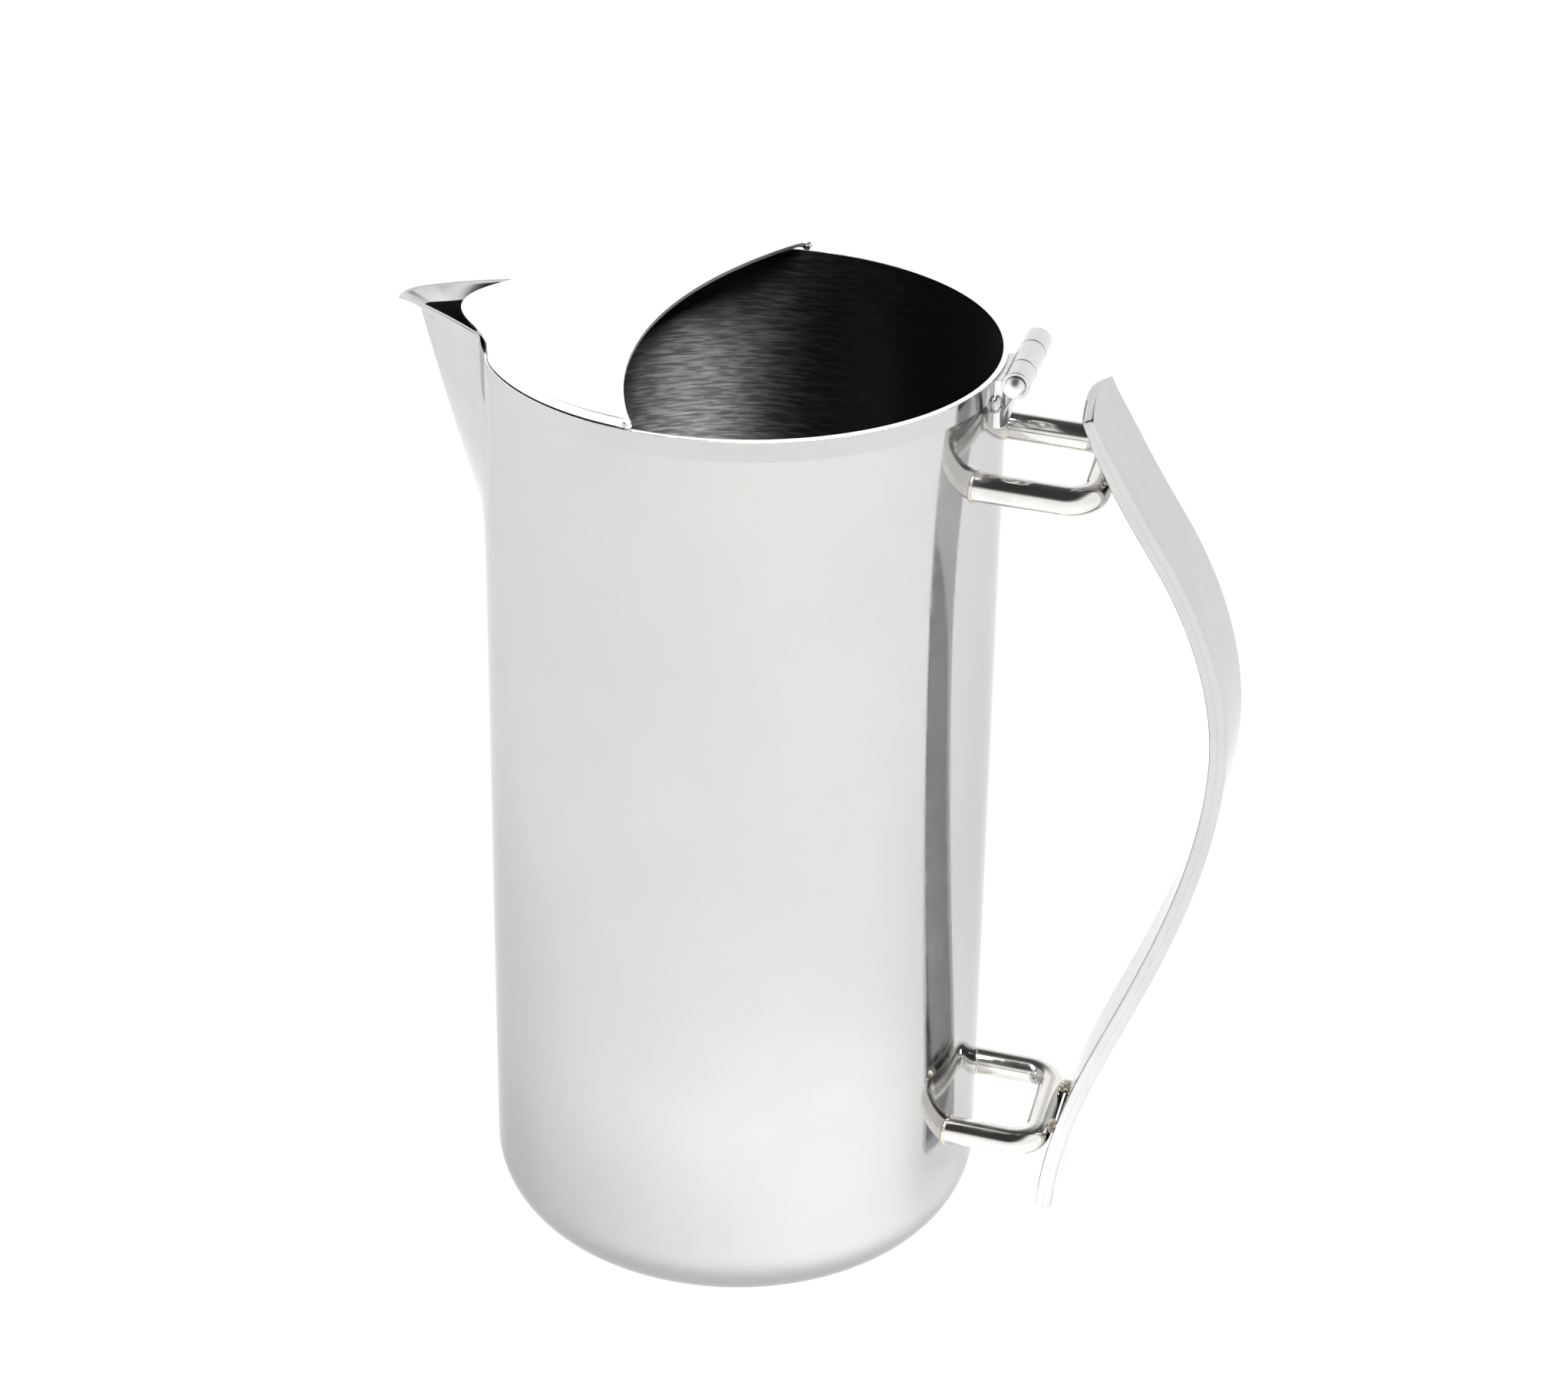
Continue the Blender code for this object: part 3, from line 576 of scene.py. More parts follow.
def guard_outline():
    """Corner-to-corner outline of the plate, with how far its edge hangs down as a skirt (0 to 1)."""
    points = []
    for i in range(GUARD_RIM_STEPS + 1):
        angle = GUARD_NEAR_CORNER + (GUARD_FAR_CORNER - GUARD_NEAR_CORNER) * i / GUARD_RIM_STEPS
        off_middle = abs(angle - math.pi)
        share = off_middle / TONGUE_HALF_ANGLE
        bump = math.cos(0.5 * math.pi * share) ** 1.7 if share < 1.0 else 0.0
        neck = NECK_DEPTH * math.exp(-((math.degrees(off_middle) - 24.0) / 5.0) ** 2)
        radius = RIM_RADIUS - 0.1 * MM + TONGUE_REACH * bump - neck
        points.append((Vector((radius * math.cos(angle), radius * math.sin(angle), 0.0)),
                       1.0 if off_middle > SKIRT_START else 0.0, True))
    start = points[-1][0]
    end = points[0][0]
    half_chord = 0.5 * (end - start).length
    across = Vector((-(end - start).y, (end - start).x, 0.0)).normalized()
    if across.x > 0.0:
        across = -across
    radius = (half_chord ** 2 + GUARD_REAR_SAGITTA ** 2) / (2.0 * GUARD_REAR_SAGITTA)
    centre = 0.5 * (start + end) + across * (GUARD_REAR_SAGITTA - radius)
    half_turn = math.asin(half_chord / radius)
    along = (end - start).normalized()
    rear_steps = 160
    for i in range(1, rear_steps):
        turn = half_turn * (2.0 * i / rear_steps - 1.0)
        point = centre + radius * (across * math.cos(turn) + along * math.sin(turn))
        points.append((point, 0.0, False))
    return points


def guard_sections(outline):
    """A cross-section of the plate's edge at each outline point, from inside below to inside above."""
    count = len(outline)
    top = GUARD_TOP_Z
    under = GUARD_TOP_Z - GUARD_SHEET
    corners = (outline[0][0], outline[GUARD_RIM_STEPS][0])
    sections = []
    for i, (point, skirt, on_rim) in enumerate(outline):
        before = outline[i - 1][0]
        after = outline[(i + 1) % count][0]
        first = (point - before).normalized()
        second = (after - point).normalized()
        along = (first + second).normalized()
        inward = Vector((-along.y, along.x, 0.0))
        if inward.dot(Vector((-40.0 * MM, 0.0, 0.0)) - point) < 0.0:
            inward = -inward
        stretch = 1.0 / max(abs(first.dot(along)), 0.35)
        from_corner = min((point - corner).length for corner in corners)
        room = 0.08 + 0.92 * smooth_step(from_corner / (4.0 * MM))
        edge = (GUARD_EDGE_RADIUS if on_rim else 0.15 * MM) * room
        foot = BODY_HEIGHT + SKIRT_GAP if skirt > 0.5 else under
        wall = 1.0 * MM * room
        profile = [(1.3 * wall, under), (wall, under), (wall, min(under, foot + 0.2 * MM)),
                   (wall if skirt > 0.5 else 0.5 * edge, foot), (0.1 * wall, foot), (0.0, foot + 0.1 * MM)]
        steps = 8
        for k in range(steps + 1):
            angle = 0.5 * math.pi * k / steps
            profile.append((edge * (1.0 - math.cos(angle)), top - edge + edge * math.sin(angle)))
        profile += [(edge + 0.15 * wall, top), (edge + 0.4 * wall, top)]
        up = Vector((0.0, 0.0, 1.0))
        sections.append([point + inward * (inset * stretch) + up * z for inset, z in profile])
    return sections


def make_guard(finish):
    """The plate, with its edge turned down as a skirt that stops just above the rim."""
    mesh = bmesh.new()
    sections = guard_sections(guard_outline())
    rows = [[mesh.verts.new(point) for point in section] for section in sections]
    count = len(rows)
    steps = len(rows[0])
    for i in range(count):
        a = rows[i]
        b = rows[(i + 1) % count]
        for k in range(steps - 1):
            mesh.faces.new((a[k], a[k + 1], b[k + 1], b[k]))
    mesh.faces.new([row[-1] for row in rows])
    mesh.faces.new([row[0] for row in rows])
    # The plate takes the pale guard steel, a painted highlight.
    add_piece("ice_guard_plate", mesh, PITCHER, ["ice_guard"], [finish["plate"]], 40.0)


def make_lump(name, centre, radii, body, nodes, finish, seed, uneven=0.12):
    """A small uneven bead of weld."""
    mesh = bmesh.new()
    bmesh.ops.create_icosphere(mesh, subdivisions=4, radius=1.0)
    for vertex in mesh.verts:
        direction = vertex.co.copy()
        swell = 1.0 + uneven * ripple(3.0 * direction.x, 3.0 * direction.y + 2.0 * direction.z, seed)
        vertex.co = Vector(centre) + Vector([direction[k] * radii[k] * swell for k in range(3)])
    add_piece(name, mesh, body, nodes, [finish], 60.0)


def make_guard_welds(finish):
    step_z = 0.5 * (BODY_HEIGHT + GUARD_TOP_Z) - 0.2 * MM
    radius = RIM_RADIUS - 0.9 * MM
    for side, corner, turn in (("near", GUARD_NEAR_CORNER, -1.2), ("far", GUARD_FAR_CORNER, 1.2)):
        angle = corner + math.radians(turn)
        centre = Vector((radius * math.cos(angle), radius * math.sin(angle), step_z))
        make_lump(f"guard_corner_weld_{side}", centre, Vector((1.25, 1.0, 1.15)) * MM, PITCHER,
                  [f"guard_weld_{side}"], finish["mirror"], 1.3)


# ---------------------------------------------------------------- hinge

def lathe_about_hinge(profile, segments=96):
    """Turn a closed profile of radius and y pairs about the hinge's axis."""
    rings = []
    for radius, y in profile:
        ring = []
        for i in range(segments):
            angle = 2.0 * math.pi * i / segments
            ring.append(Vector((HINGE_X + radius * math.cos(angle), y, HINGE_Z + radius * math.sin(angle))))
        rings.append(ring)
    return rings


def paint_shade_on_ends(mesh, rings, segments=96):
    """Give the faces that start at some of a lathed piece's rings its second finish, the near-black inside
    steel that paints shade into the gaps and bore between the knuckles.
    """
    for index, made in enumerate(mesh.faces):
        if index // segments in rings:
            made.material_index = 1


def make_knuckles(finish):
    for side, sign in (("near", -1.0), ("far", 1.0)):
        inner = KNUCKLE_HALF_WIDTH + KNUCKLE_GAP
        outer = BARREL_HALF_LENGTH
        seat = outer - SEAT_DEPTH
        seat_radius = BALL_RADIUS + 0.06 * MM
        soft = 0.18 * MM
        crisp = 0.10 * MM
        profile = [(BORE_RADIUS, inner)]
        profile += [(BARREL_RADIUS - crisp + crisp * math.sin(a), inner + crisp - crisp * math.cos(a))
                    for a in (math.pi * k / 10 for k in range(6))]
        profile += [(BARREL_RADIUS, inner + 2.0 * crisp), (BARREL_RADIUS, outer - 2.0 * soft)]
        profile += [(BARREL_RADIUS - soft + soft * math.cos(a), outer - soft + soft * math.sin(a))
                    for a in (math.pi * k / 10 for k in range(6))]
        profile += [(seat_radius + 0.1 * MM, outer), (seat_radius, outer - 0.1 * MM),
                    (seat_radius, seat), (BORE_RADIUS, seat)]
        mesh = skin(lathe_about_hinge([(r, sign * y) for r, y in profile]), around=True)
        paint_shade_on_ends(mesh, (0, 1, 2))
        add_piece(f"hinge_knuckle_tube_{side}", mesh, BARREL,
                  [f"hinge_knuckle_{side}"], [finish["barrel"], finish["inside"]], 40.0)


def make_balls(finish):
    """A ball in each end of the barrel, with a small dimple where it was spun."""
    steps = 40
    for side, sign in (("near", -1.0), ("far", 1.0)):
        profile = []
        for i in range(1, steps + 1):
            angle = math.pi * i / steps
            radius = BALL_RADIUS * math.sin(angle)
            height = BALL_RADIUS * math.cos(angle)
            if i == steps:
                radius = 0.02 * MM
            dimple = BALL_DIMPLE * math.exp(-(radius / (0.35 * MM)) ** 2) if height > 0.0 else 0.0
            profile.append((radius, sign * (BARREL_HALF_LENGTH + BALL_STAND_OUT + height - dimple)))
        first = (0.02 * MM, sign * (BARREL_HALF_LENGTH + BALL_STAND_OUT + BALL_RADIUS - BALL_DIMPLE))
        mesh = skin(lathe_about_hinge([first] + profile), cap="fan")
        add_piece(f"hinge_ball_{side}", mesh, BARREL, [f"ball_tip_{side}"],
                  [finish["ball"]], 60.0)


def make_pin(finish):
    half = 11.6 * MM
    radius = 1.2 * MM
    profile = [(0.02 * MM, -half), (radius - 0.1 * MM, -half), (radius, -half + 0.1 * MM),
               (radius, half - 0.1 * MM), (radius - 0.1 * MM, half), (0.02 * MM, half)]
    # The pin takes the inside steel: near-black painted shade down in the barrel's gaps.
    add_piece("hinge_pin_rod", skin(lathe_about_hinge(profile, 48), cap="fan"), BARREL,
              ["hinge_pin"], [finish["inside"]])


def leaf_face_x(y, z):
    """Outer face of the leaf: a waisted plate, with a web that spreads out to the middle knuckle."""
    from_waist = (z - 213.0 * MM) / MM
    plate = 59.0 * MM + 0.0247 * MM * from_waist ** 2 / (1.0 + 0.0278 * from_waist ** 2)
    rise = smooth_step((z - 209.5 * MM) / (9.7 * MM))
    web = 59.2 * MM + 2.9 * MM * rise ** 1.4
    over = smooth_step((7.4 * MM - abs(y)) / (2.2 * MM))
    face = plate + max(web - plate, 0.0) * over
    clear = BARREL_RADIUS + 0.35 * MM
    if abs(y) > KNUCKLE_HALF_WIDTH and abs(z - HINGE_Z) < clear:
        face = min(face, HINGE_X - math.sqrt(clear ** 2 - (z - HINGE_Z) ** 2))
    return max(face, 58.75 * MM)


def make_leaf(finish):
    """The fixed middle knuckle, and the leaf that comes down the wall from it."""
    across_steps = 68
    up_steps = 48
    soft = 0.2 * MM
    mesh = bmesh.new()
    outer = []
    inner = []
    for i in range(across_steps + 1):
        across = 2.0 * i / across_steps - 1.0
        y = across * LEAF_HALF_WIDTH
        foot = LEAF_FOOT_Z + LEAF_FOOT_RISE * across ** 2
        top = LEAF_TOP_Z
        to_side = LEAF_HALF_WIDTH - abs(y)
        outer_column = []
        inner_column = []
        for k in range(up_steps + 1):
            z = foot + (top - foot) * k / up_steps
            to_edge = min(to_side, z - foot, top - z)
            round_off = soft * (1.0 - math.sqrt(max(1.0 - (1.0 - min(to_edge / soft, 1.0)) ** 2, 0.0)))
            outer_column.append(mesh.verts.new((leaf_face_x(y, z) - round_off, y, z)))
            inner_column.append(mesh.verts.new((math.sqrt(wall_radius(z) ** 2 - y ** 2) + 0.03 * MM, y, z)))
        outer.append(outer_column)
        inner.append(inner_column)
    for i in range(across_steps):
        for k in range(up_steps):
            mesh.faces.new((outer[i][k], outer[i + 1][k], outer[i + 1][k + 1], outer[i][k + 1]))
            mesh.faces.new((inner[i][k], inner[i][k + 1], inner[i + 1][k + 1], inner[i + 1][k]))
        for k in (0, up_steps):
            mesh.faces.new((outer[i][k], inner[i][k], inner[i + 1][k], outer[i + 1][k]))
    for i in (0, across_steps):
        for k in range(up_steps):
            mesh.faces.new((outer[i][k], outer[i][k + 1], inner[i][k + 1], inner[i][k]))
    add_piece("hinge_leaf_plate", mesh, PITCHER, ["hinge_leaf"], [finish["barrel"]], 50.0)

    corner = 0.06 * MM
    half = KNUCKLE_HALF_WIDTH
    profile = [(BORE_RADIUS, -half), (BARREL_RADIUS - corner, -half), (BARREL_RADIUS, -half + corner),
               (BARREL_RADIUS, -half + 2.0 * corner), (BARREL_RADIUS, half - 2.0 * corner),
               (BARREL_RADIUS, half - corner), (BARREL_RADIUS - corner, half), (BORE_RADIUS, half)]
    knuckle = skin(lathe_about_hinge(profile), around=True)
    paint_shade_on_ends(knuckle, (0, 6, 7))
    add_piece("hinge_knuckle_fixed", knuckle, PITCHER, [],
              [finish["barrel"], finish["inside"]], 50.0)
    for side, sign in (("near", -1.0), ("far", 1.0)):
        centre = Vector((57.95, sign * 8.9, 215.6)) * MM
        make_lump(f"leaf_bead_{side}", centre, Vector((1.3, 1.15, 2.0)) * MM, PITCHER,
                  [f"leaf_weld_{side}"], finish["mirror"], 2.1, 0.05)


# ---------------------------------------------------------------- brackets

def rod_path(rod):
    """Centre line of a bracket from the near end to the far end, as points and directions."""
    start = Vector((wall_radius(rod["body_z"]) - 3.0 * MM, 0.0, rod["body_z"]))
    end = Vector((rod["bar_x"], 0.0, rod["bar_z"]))
    out = (end - start).normalized()
    corner = end - out * BEND_RADIUS
    across = Vector((0.0, 1.0, 0.0))
    inside = ROD_HALF_SPACING - BEND_RADIUS
    steps = 24
    path = [(start - across * ROD_HALF_SPACING, out)]
    for side in (-1.0, 1.0):
        for i in range(steps + 1):
            turn = 0.5 * math.pi * i / steps
            if side > 0.0:
                turn = 0.5 * math.pi - turn
            offset = out * math.sin(turn) + across * side * math.cos(turn)
            heading = out * math.cos(turn) * -side + across * math.sin(turn)
            path.append((corner + across * side * inside + offset * BEND_RADIUS, heading))
    path.append((start + across * ROD_HALF_SPACING, -out))
    return path, out


def make_bracket(name, rod, node, finish):
    path, out = rod_path(rod)
    up = out.cross(Vector((0.0, 1.0, 0.0))).normalized()
    sides = 72
    rings = []
    for index, (centre, heading) in enumerate(path):
        across = heading.cross(up)
        ring = []
        for i in range(sides):
            angle = 2.0 * math.pi * i / sides
            point = centre + ROD_RADIUS * (across * math.cos(angle) + up * math.sin(angle))
            point.z += rod["tilt"] * point.y / ROD_HALF_SPACING
            if index in (0, len(path) - 1):
                reach = wall_radius(point.z) - 0.3 * MM
                moved = math.sqrt(reach ** 2 - point.y ** 2) - point.x
                point += out * (moved / out.x)
            ring.append(point)
        rings.append(ring)
    add_piece(name, skin(rings, cap="fan"), PITCHER, [node], [finish], 50.0)


def make_rod_weld(level, rod, side, sign, finish):
    """A thin uneven bead around the rod where it meets the body."""
    centre_z = rod["body_z"] - 0.1 * MM + rod["tilt"] * sign
    rings = []
    around_steps = 120
    for i in range(around_steps):
        angle = 2.0 * math.pi * i / around_steps
        bead = 0.34 * MM * (1.0 + 0.18 * ripple(6.0 * math.cos(angle), 6.0 * math.sin(angle), 4.0 + sign))
        ring_radius = ROD_RADIUS + 0.12 * MM
        y = sign * ROD_HALF_SPACING + ring_radius * math.cos(angle)
        z = centre_z + ring_radius * math.sin(angle)
        x = math.sqrt(wall_radius(z) ** 2 - y ** 2) + 0.1 * MM
        outward = Vector((0.0, math.cos(angle), math.sin(angle)))
        rings.append([Vector((x, y, z)) + bead * (outward * math.cos(b) + Vector((math.sin(b), 0.0, 0.0)))
                      for b in (math.pi * k / 6 for k in range(12))])
    add_piece(f"{level}_rod_bead_{side}", skin(rings, around=True), PITCHER,
              [f"{level}_rod_weld_{side}"], [finish], 60.0)


# ---------------------------------------------------------------- handle

def handle_line(steps):
    """Points down the middle of the strap."""
    knots = []
    for x, z, lean in HANDLE_KNOTS:
        angle = math.radians(lean)
        knots.append((Vector((x, 0.0, z)) * MM, Vector((math.sin(angle), 0.0, -math.cos(angle)))))
    points = []
    for (p0, d0), (p1, d1) in zip(knots, knots[1:]):
        length = (p1 - p0).length
        for i in range(steps):
            t = i / steps
            h00 = 2 * t ** 3 - 3 * t ** 2 + 1
            h10 = t ** 3 - 2 * t ** 2 + t
            h01 = -2 * t ** 3 + 3 * t ** 2
            h11 = t ** 3 - t ** 2
            points.append(p0 * h00 + d0 * length * h10 + p1 * h01 + d1 * length * h11)
    points.append(knots[-1][0])
    return points


class Strap:
    """The strap's middle line, read by distance from its top."""

    def __init__(self):
        self.points = handle_line(60)
        self.walked = [0.0]
        for a, b in zip(self.points, self.points[1:]):
            self.walked.append(self.walked[-1] + (b - a).length)
        self.length = self.walked[-1]

    def at(self, distance):
        """Point and direction at a distance; past either end it runs on straight."""
        last = len(self.points) - 1
        if distance <= 0.0:
            along = (self.points[1] - self.points[0]).normalized()
            return self.points[0] + along * distance, along
        if distance >= self.length:
            along = (self.points[last] - self.points[last - 1]).normalized()
            return self.points[last] + along * (distance - self.length), along
        low = max(i for i in range(last) if self.walked[i] <= distance)
        span = self.walked[low + 1] - self.walked[low]
        share = (distance - self.walked[low]) / span
        before = self.points[max(low - 1, 0)]
        here = self.points[low]
        following = self.points[low + 1]
        after = self.points[min(low + 2, last)]
        along = (following - before).normalized().lerp((after - here).normalized(), share).normalized()
        return here.lerp(following, share), along


def strap_rows(length):
    """Distances from the top at which the strap's sections lie, close together at its ends."""
    top_end = [0.0, 0.04, 0.1, 0.18, 0.28, 0.4, 0.6, 0.9, 1.3, 1.8, 2.4, 3.0, 3.6, 4.5]
    bottom_end = [0.0, 0.04, 0.12, 0.25, 0.4, 0.6, 0.85, 1.15, 1.5, 2.0, 2.6, 3.2, 3.8, 4.6]
    start = top_end[-1] * MM
    end = length - bottom_end[-1] * MM
    count = 220
    middle = [start + (end - start) * i / count for i in range(1, count)]
    return [d * MM for d in top_end] + middle + [length - d * MM for d in reversed(bottom_end)]


def make_handle_shell(name, node, strap, sign, finish):
    """One of the strap's two shells. sign is 1 for the outer shell and -1 for the inner one."""
    arch = 2.3 * MM
    corner = 0.7 * MM
    side_soft = 0.50 * MM
    top_soft = 0.22 * MM
    bottom_soft = 1.3 * MM
    flat_steps = 28
    round_steps = 5
    rings = []
    for walked in strap_rows(strap.length):
        to_bottom = strap.length - walked
        share = min(min(walked, to_bottom) / corner, 1.0)
        half = HANDLE_HALF_WIDTH - 0.8 * corner * (1.0 - math.sqrt(1.0 - (1.0 - share) ** 2))
        thickness = HANDLE_HALF_THICKNESS * (0.70 + 0.30 * smooth_step(walked / (14.0 * MM)))
        for end, soft in ((walked, top_soft), (to_bottom, bottom_soft)):
            if end < soft:
                thickness -= soft * (1.0 - math.sqrt(1.0 - (1.0 - end / soft) ** 2))
        soft = min(side_soft, 0.6 * thickness)
        section = []
        for k in range(round_steps + 1):
            angle = 0.5 * math.pi * k / round_steps
            section.append((-half + soft * (1.0 - math.sin(angle)),
                            thickness - soft * (1.0 - math.cos(angle))))
        section.reverse()
        flat_width = 2.0 * (half - soft)
        flat = [(-half + soft + flat_width * k / flat_steps, thickness) for k in range(1, flat_steps)]
        mirrored = [(-y, d) for y, d in reversed(section)]
        face = [(-half, HANDLE_SEAM)] + sorted(section, key=lambda p: (p[0], p[1])) + flat
        face += sorted(mirrored, key=lambda p: (p[0], -p[1])) + [(half, HANDLE_SEAM)]
        ring = []
        for y, depth in face + [(y, HANDLE_SEAM * 0.999) for y, _ in reversed(face[1:-1])]:
            rise = arch * (1.0 - (y / HANDLE_HALF_WIDTH) ** 2) * (1.0 - smooth_step(walked / (22.0 * MM)))
            point, along = strap.at(walked - rise)
            outward = Vector((-along.z, 0.0, along.x))
            ring.append(point + Vector((0.0, y, 0.0)) + outward * (sign * depth))
        rings.append(ring)
    mesh = bmesh.new()
    made = [[mesh.verts.new(point) for point in ring] for ring in rings]
    count = len(made[0])
    for low, high in zip(made, made[1:]):
        for i in range(count):
            j = (i + 1) % count
            mesh.faces.new((low[i], low[j], high[j], high[i]))
    last = (count + 2) // 2 - 1
    for ring in (made[0], made[-1]):
        mesh.faces.new((ring[0], ring[1], ring[count - 1]))
        for i in range(1, last - 1):
            mesh.faces.new((ring[i], ring[i + 1], ring[count - 1 - i], ring[count - i]))
        mesh.faces.new((ring[last - 1], ring[last], ring[last + 1]))
    add_piece(name, mesh, PITCHER, [node], [finish], 40.0)


def make_handle_welds(level, rod, strap, finish):
    """Beads in the nook between a bracket's bar and the strap's inner face."""
    bar = Vector((rod["bar_x"], 0.0, rod["bar_z"]))
    distances = [strap.length * i / 400 for i in range(401)]
    nearest = min(distances, key=lambda d: (strap.at(d)[0] - bar).length)
    point, along = strap.at(nearest)
    inward = Vector((along.z, 0.0, -along.x))
    gap = (bar - point).dot(inward) - HANDLE_HALF_THICKNESS
    for side, sign in (("near", -1.0), ("far", 1.0)):
        bead = 1.0 * MM
        climb = math.sqrt(max((ROD_RADIUS + 0.55 * bead) ** 2 - (gap - 0.55 * bead) ** 2, 0.0))
        centre = point + inward * (HANDLE_HALF_THICKNESS + 0.55 * bead) - along * climb
        centre.y = sign * 9.0 * MM
        centre.z += rod["tilt"] * sign * 0.5
        make_lump(f"{level}_handle_bead_{side}", centre, Vector((1.0, 2.6, 1.15)) * MM, PITCHER,
                  [f"{level}_handle_weld_{side}"], finish["weld"], 3.0 + sign, 0.2)


# ---------------------------------------------------------------- studio

def make_camera():
    look = Vector((math.cos(CAMERA_HEADING) * math.cos(CAMERA_PITCH),
                   math.sin(CAMERA_HEADING) * math.cos(CAMERA_PITCH), -math.sin(CAMERA_PITCH)))
    level_right = Vector((math.sin(CAMERA_HEADING), -math.cos(CAMERA_HEADING), 0.0))
    level_up = level_right.cross(look)
    right = level_right * math.cos(CAMERA_ROLL) + level_up * math.sin(CAMERA_ROLL)
    up = level_up * math.cos(CAMERA_ROLL) - level_right * math.sin(CAMERA_ROLL)
    turn = Matrix((right, up, -look)).transposed()
    data = bpy.data.cameras.new("camera")
    data.lens = CAMERA_LENS
    data.sensor_width = SENSOR_WIDTH
    data.clip_start = 0.01
    camera = bpy.data.objects.new("camera", data)
    camera.matrix_world = Matrix.Translation(CAMERA_PLACE) @ turn.to_4x4()
    bpy.context.collection.objects.link(camera)
    bpy.context.scene.camera = camera


def make_world():
    """A white room with a dark ceiling above the camera."""
    world = bpy.data.worlds.new("studio")
    world.use_nodes = True
    bpy.context.scene.world = world
    tree = world.node_tree
    background = tree.nodes["Background"]
    background.inputs["Color"].default_value = (1.0, 1.0, 1.0, 1.0)
    coordinates = add_node(tree, "ShaderNodeTexCoord")

    def lobe(direction, inner, outer, at_centre, outside):
        """A value that runs from at_centre within the inner angle to outside past the outer one."""
        dot = add_node(tree, "ShaderNodeVectorMath", operation="DOT_PRODUCT")
        dot.inputs[1].default_value = Vector(direction).normalized()
        tree.links.new(coordinates.outputs["Generated"], dot.inputs[0])
        ranged = add_node(tree, "ShaderNodeMapRange",
                          {"From Min": math.cos(math.radians(inner)),
                           "From Max": math.cos(math.radians(outer)),
                           "To Min": at_centre, "To Max": outside}, interpolation_type="SMOOTHSTEP")
        tree.links.new(dot.outputs["Value"], ranged.inputs["Value"])
        return ranged.outputs["Result"]

    total = multiply(tree, (lobe((0.0, -0.50, 0.866), 27.0, 51.0, 0.0, 1.0),
                            lobe((0.0, 0.47, 0.883), 10.0, 38.0, 0.22, 1.0),
                            lobe((0.0, 0.0, 1.0), 30.0, 48.0, 0.1, 1.0)))
    ceiling = add_node(tree, "ShaderNodeMath", operation="MULTIPLY_ADD")
    ceiling.inputs[1].default_value = 1.14
    ceiling.inputs[2].default_value = 0.05
    tree.links.new(total, ceiling.inputs[0])
    seen = add_node(tree, "ShaderNodeLightPath")
    choose = add_node(tree, "ShaderNodeMix", {"B": 1.0}, data_type="FLOAT")
    tree.links.new(seen.outputs["Is Camera Ray"], choose.inputs["Factor"])
    tree.links.new(ceiling.outputs["Value"], choose.inputs["A"])
    tree.links.new(choose.outputs["Result"], background.inputs["Strength"])


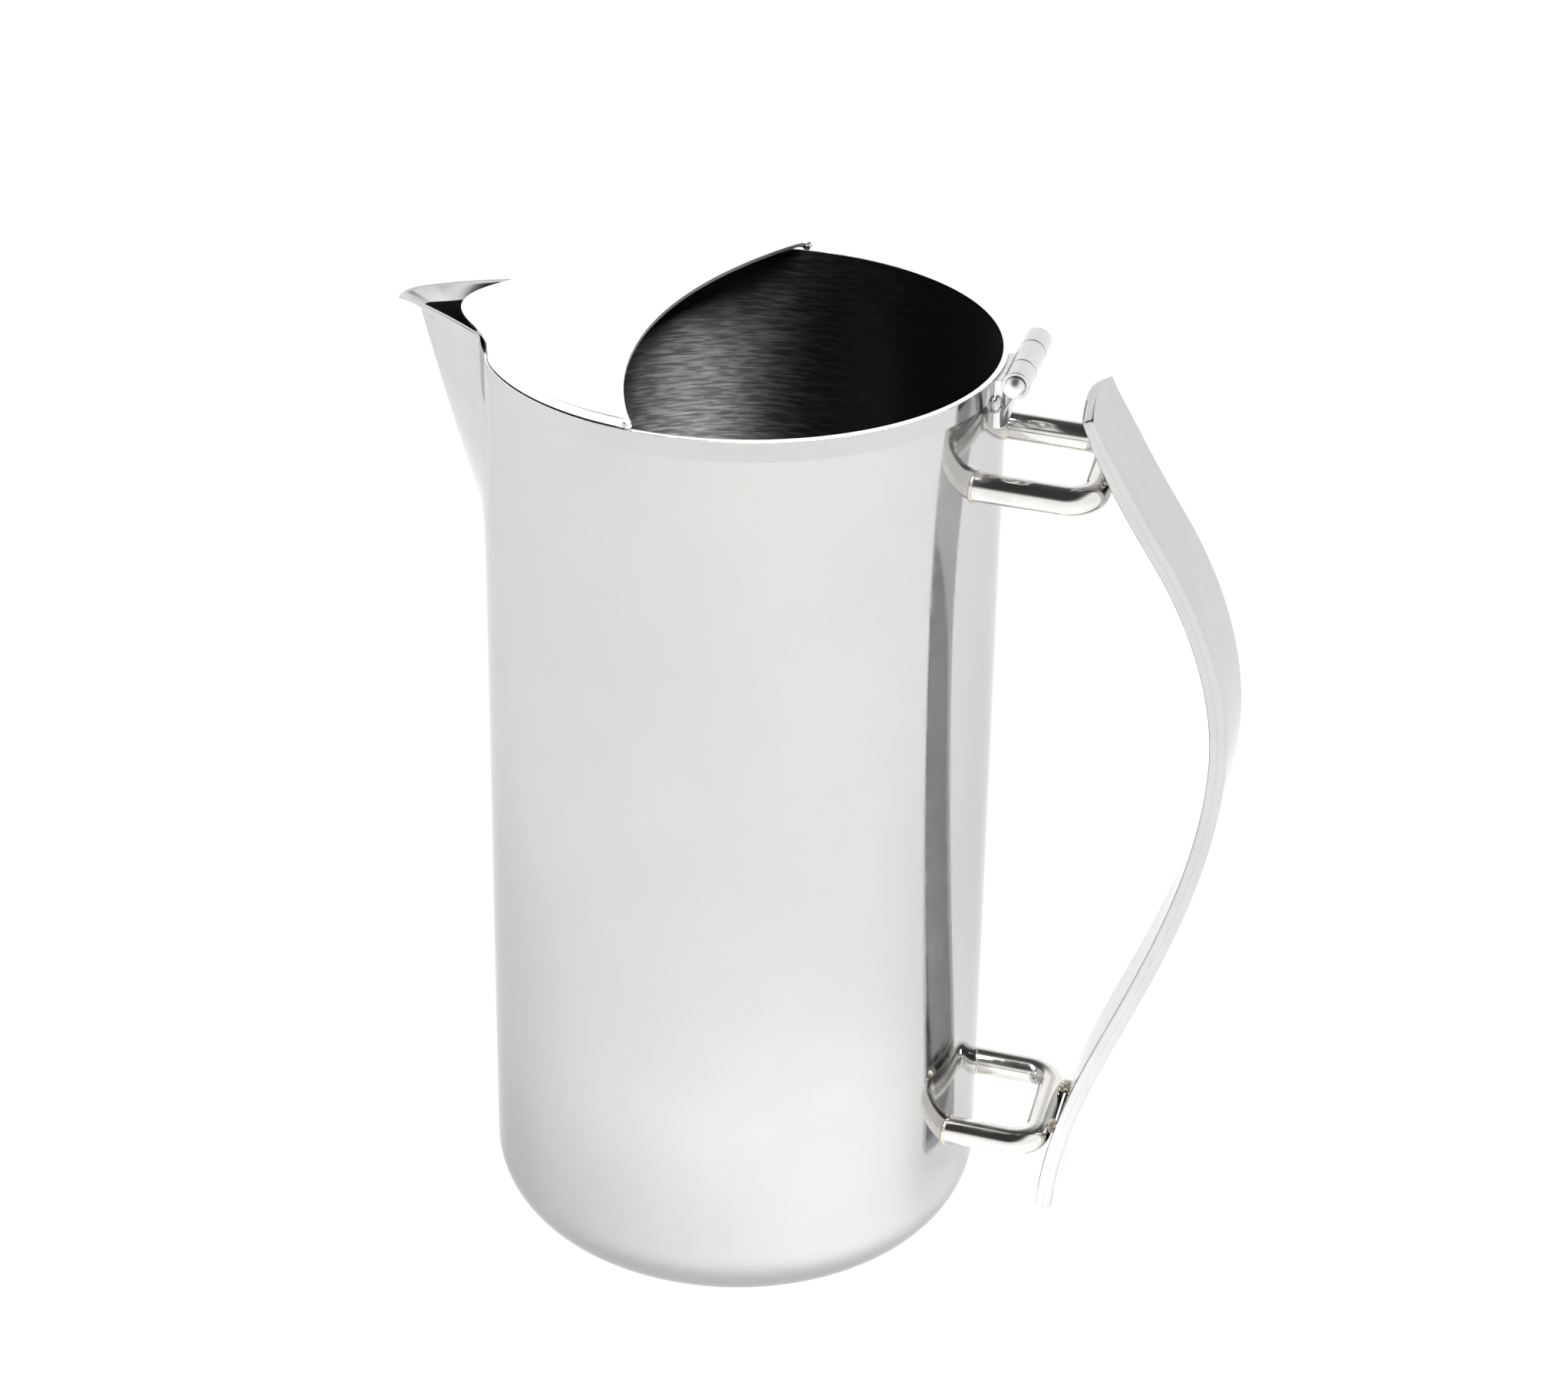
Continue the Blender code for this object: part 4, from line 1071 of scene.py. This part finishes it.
def make_floor():
    """A pale lit table whose glow carries painted shadow and light: a little darker around the base and
    behind the spout, brighter in front of the handle.
    """
    mesh = bmesh.new()
    bmesh.ops.create_circle(mesh, cap_ends=True, segments=128, radius=6.0)
    data = bpy.data.meshes.new("floor")
    mesh.to_mesh(data)
    mesh.free()
    floor = bpy.data.objects.new("floor", data)
    bpy.context.collection.objects.link(floor)
    made = bpy.data.materials.new("pale_floor")
    made.use_nodes = True
    tree = made.node_tree
    shader = tree.nodes["Principled BSDF"]
    shader.inputs["Base Color"].default_value = (0.30, 0.30, 0.30, 1.0)
    shader.inputs["Roughness"].default_value = 1.0
    shader.inputs["Specular IOR Level"].default_value = 0.0
    shader.inputs["Emission Color"].default_value = (1.0, 1.0, 1.0, 1.0)
    coordinates = add_node(tree, "ShaderNodeTexCoord")

    def painted_light_and_shade_pool(centre, inner, outer, near, far):
        """A value that runs from near to far with the distance from a point on the floor."""
        apart = add_node(tree, "ShaderNodeVectorMath", operation="DISTANCE")
        apart.inputs[1].default_value = (*centre, 0.0)
        tree.links.new(coordinates.outputs["Object"], apart.inputs[0])
        ranged = add_node(tree, "ShaderNodeMapRange",
                          {"From Min": inner, "From Max": outer, "To Min": near, "To Max": far},
                          interpolation_type="SMOOTHSTEP")
        tree.links.new(apart.outputs["Value"], ranged.inputs["Value"])
        return ranged.outputs["Result"]

    # Painted shadow and light in the floor's glow: darker pools around the pitcher's base stand in for its
    # contact shadow, and a brighter pool lies in front of the handle.
    total = multiply(tree, (painted_light_and_shade_pool((0.0, 0.0), 0.10, 0.40, 1.02, 1.09),
                            painted_light_and_shade_pool((-0.13, 0.04), 0.03, 0.16, 0.90, 1.0),
                            painted_light_and_shade_pool((0.20, 0.16), 0.05, 0.25, 0.95, 1.0),
                            painted_light_and_shade_pool((0.60, -0.60), 0.30, 1.00, 1.05, 0.97)))
    tree.links.new(total, shader.inputs["Emission Strength"])
    data.materials.append(made)


def aim_light(name, place, target, size, power, in_reflections, only_on=None):
    data = bpy.data.lights.new(name, "AREA")
    data.shape = "DISK"
    data.size = size
    data.energy = power
    light = bpy.data.objects.new(name, data)
    direction = Vector(target) - Vector(place)
    light.location = place
    light.rotation_mode = "QUATERNION"
    light.rotation_quaternion = direction.to_track_quat("-Z", "Y")
    light.visible_camera = False
    light.visible_glossy = in_reflections
    bpy.context.collection.objects.link(light)
    if only_on:
        lit = bpy.data.collections.new(f"{name}_receivers")
        lit.objects.link(only_on)
        light.light_linking.receiver_collection = lit


def make_lights(body, spout):
    """A soft light above, one into the mouth for the body's inside, and one for the spout's lip."""
    aim_light("overhead_softbox", (0.0, 0.0, 2.2), (0.0, 0.0, 0.0), 2.4, 8.0, False)
    aim_light("mouth_light", (0.53, -0.46, 1.30), (0.0, 0.0, 0.2), 0.85, 2100.0, True, only_on=body)
    aim_light("lip_light", (0.05, -0.05, 1.45), (-0.07, 0.0, 0.22), 1.9, 8.5, True, only_on=spout)


# ---------------------------------------------------------------- assembly

def build():
    scene = bpy.context.scene
    scene.view_settings.view_transform = "Standard"
    make_camera()
    make_world()
    make_floor()
    finish = make_materials()
    body = make_body(finish)
    spout = make_spout(finish)
    make_lights(body, spout)
    make_guard(finish)
    make_guard_welds(finish)
    make_knuckles(finish)
    make_balls(finish)
    make_pin(finish)
    make_leaf(finish)
    strap = Strap()
    for level, rod in (("upper", UPPER_ROD), ("lower", LOWER_ROD)):
        make_bracket(f"{level}_bent_rod", rod, f"{level}_bracket", finish["rod"])
        for side, sign in (("near", -1.0), ("far", 1.0)):
            make_rod_weld(level, rod, side, sign, finish["weld"])
        make_handle_welds(level, rod, strap, finish)
    make_handle_shell("handle_outer_strap", "handle_outer_shell", strap, 1.0, finish["strap"])
    make_handle_shell("handle_inner_strap", "handle_inner_shell", strap, -1.0, finish["strap"])


build()
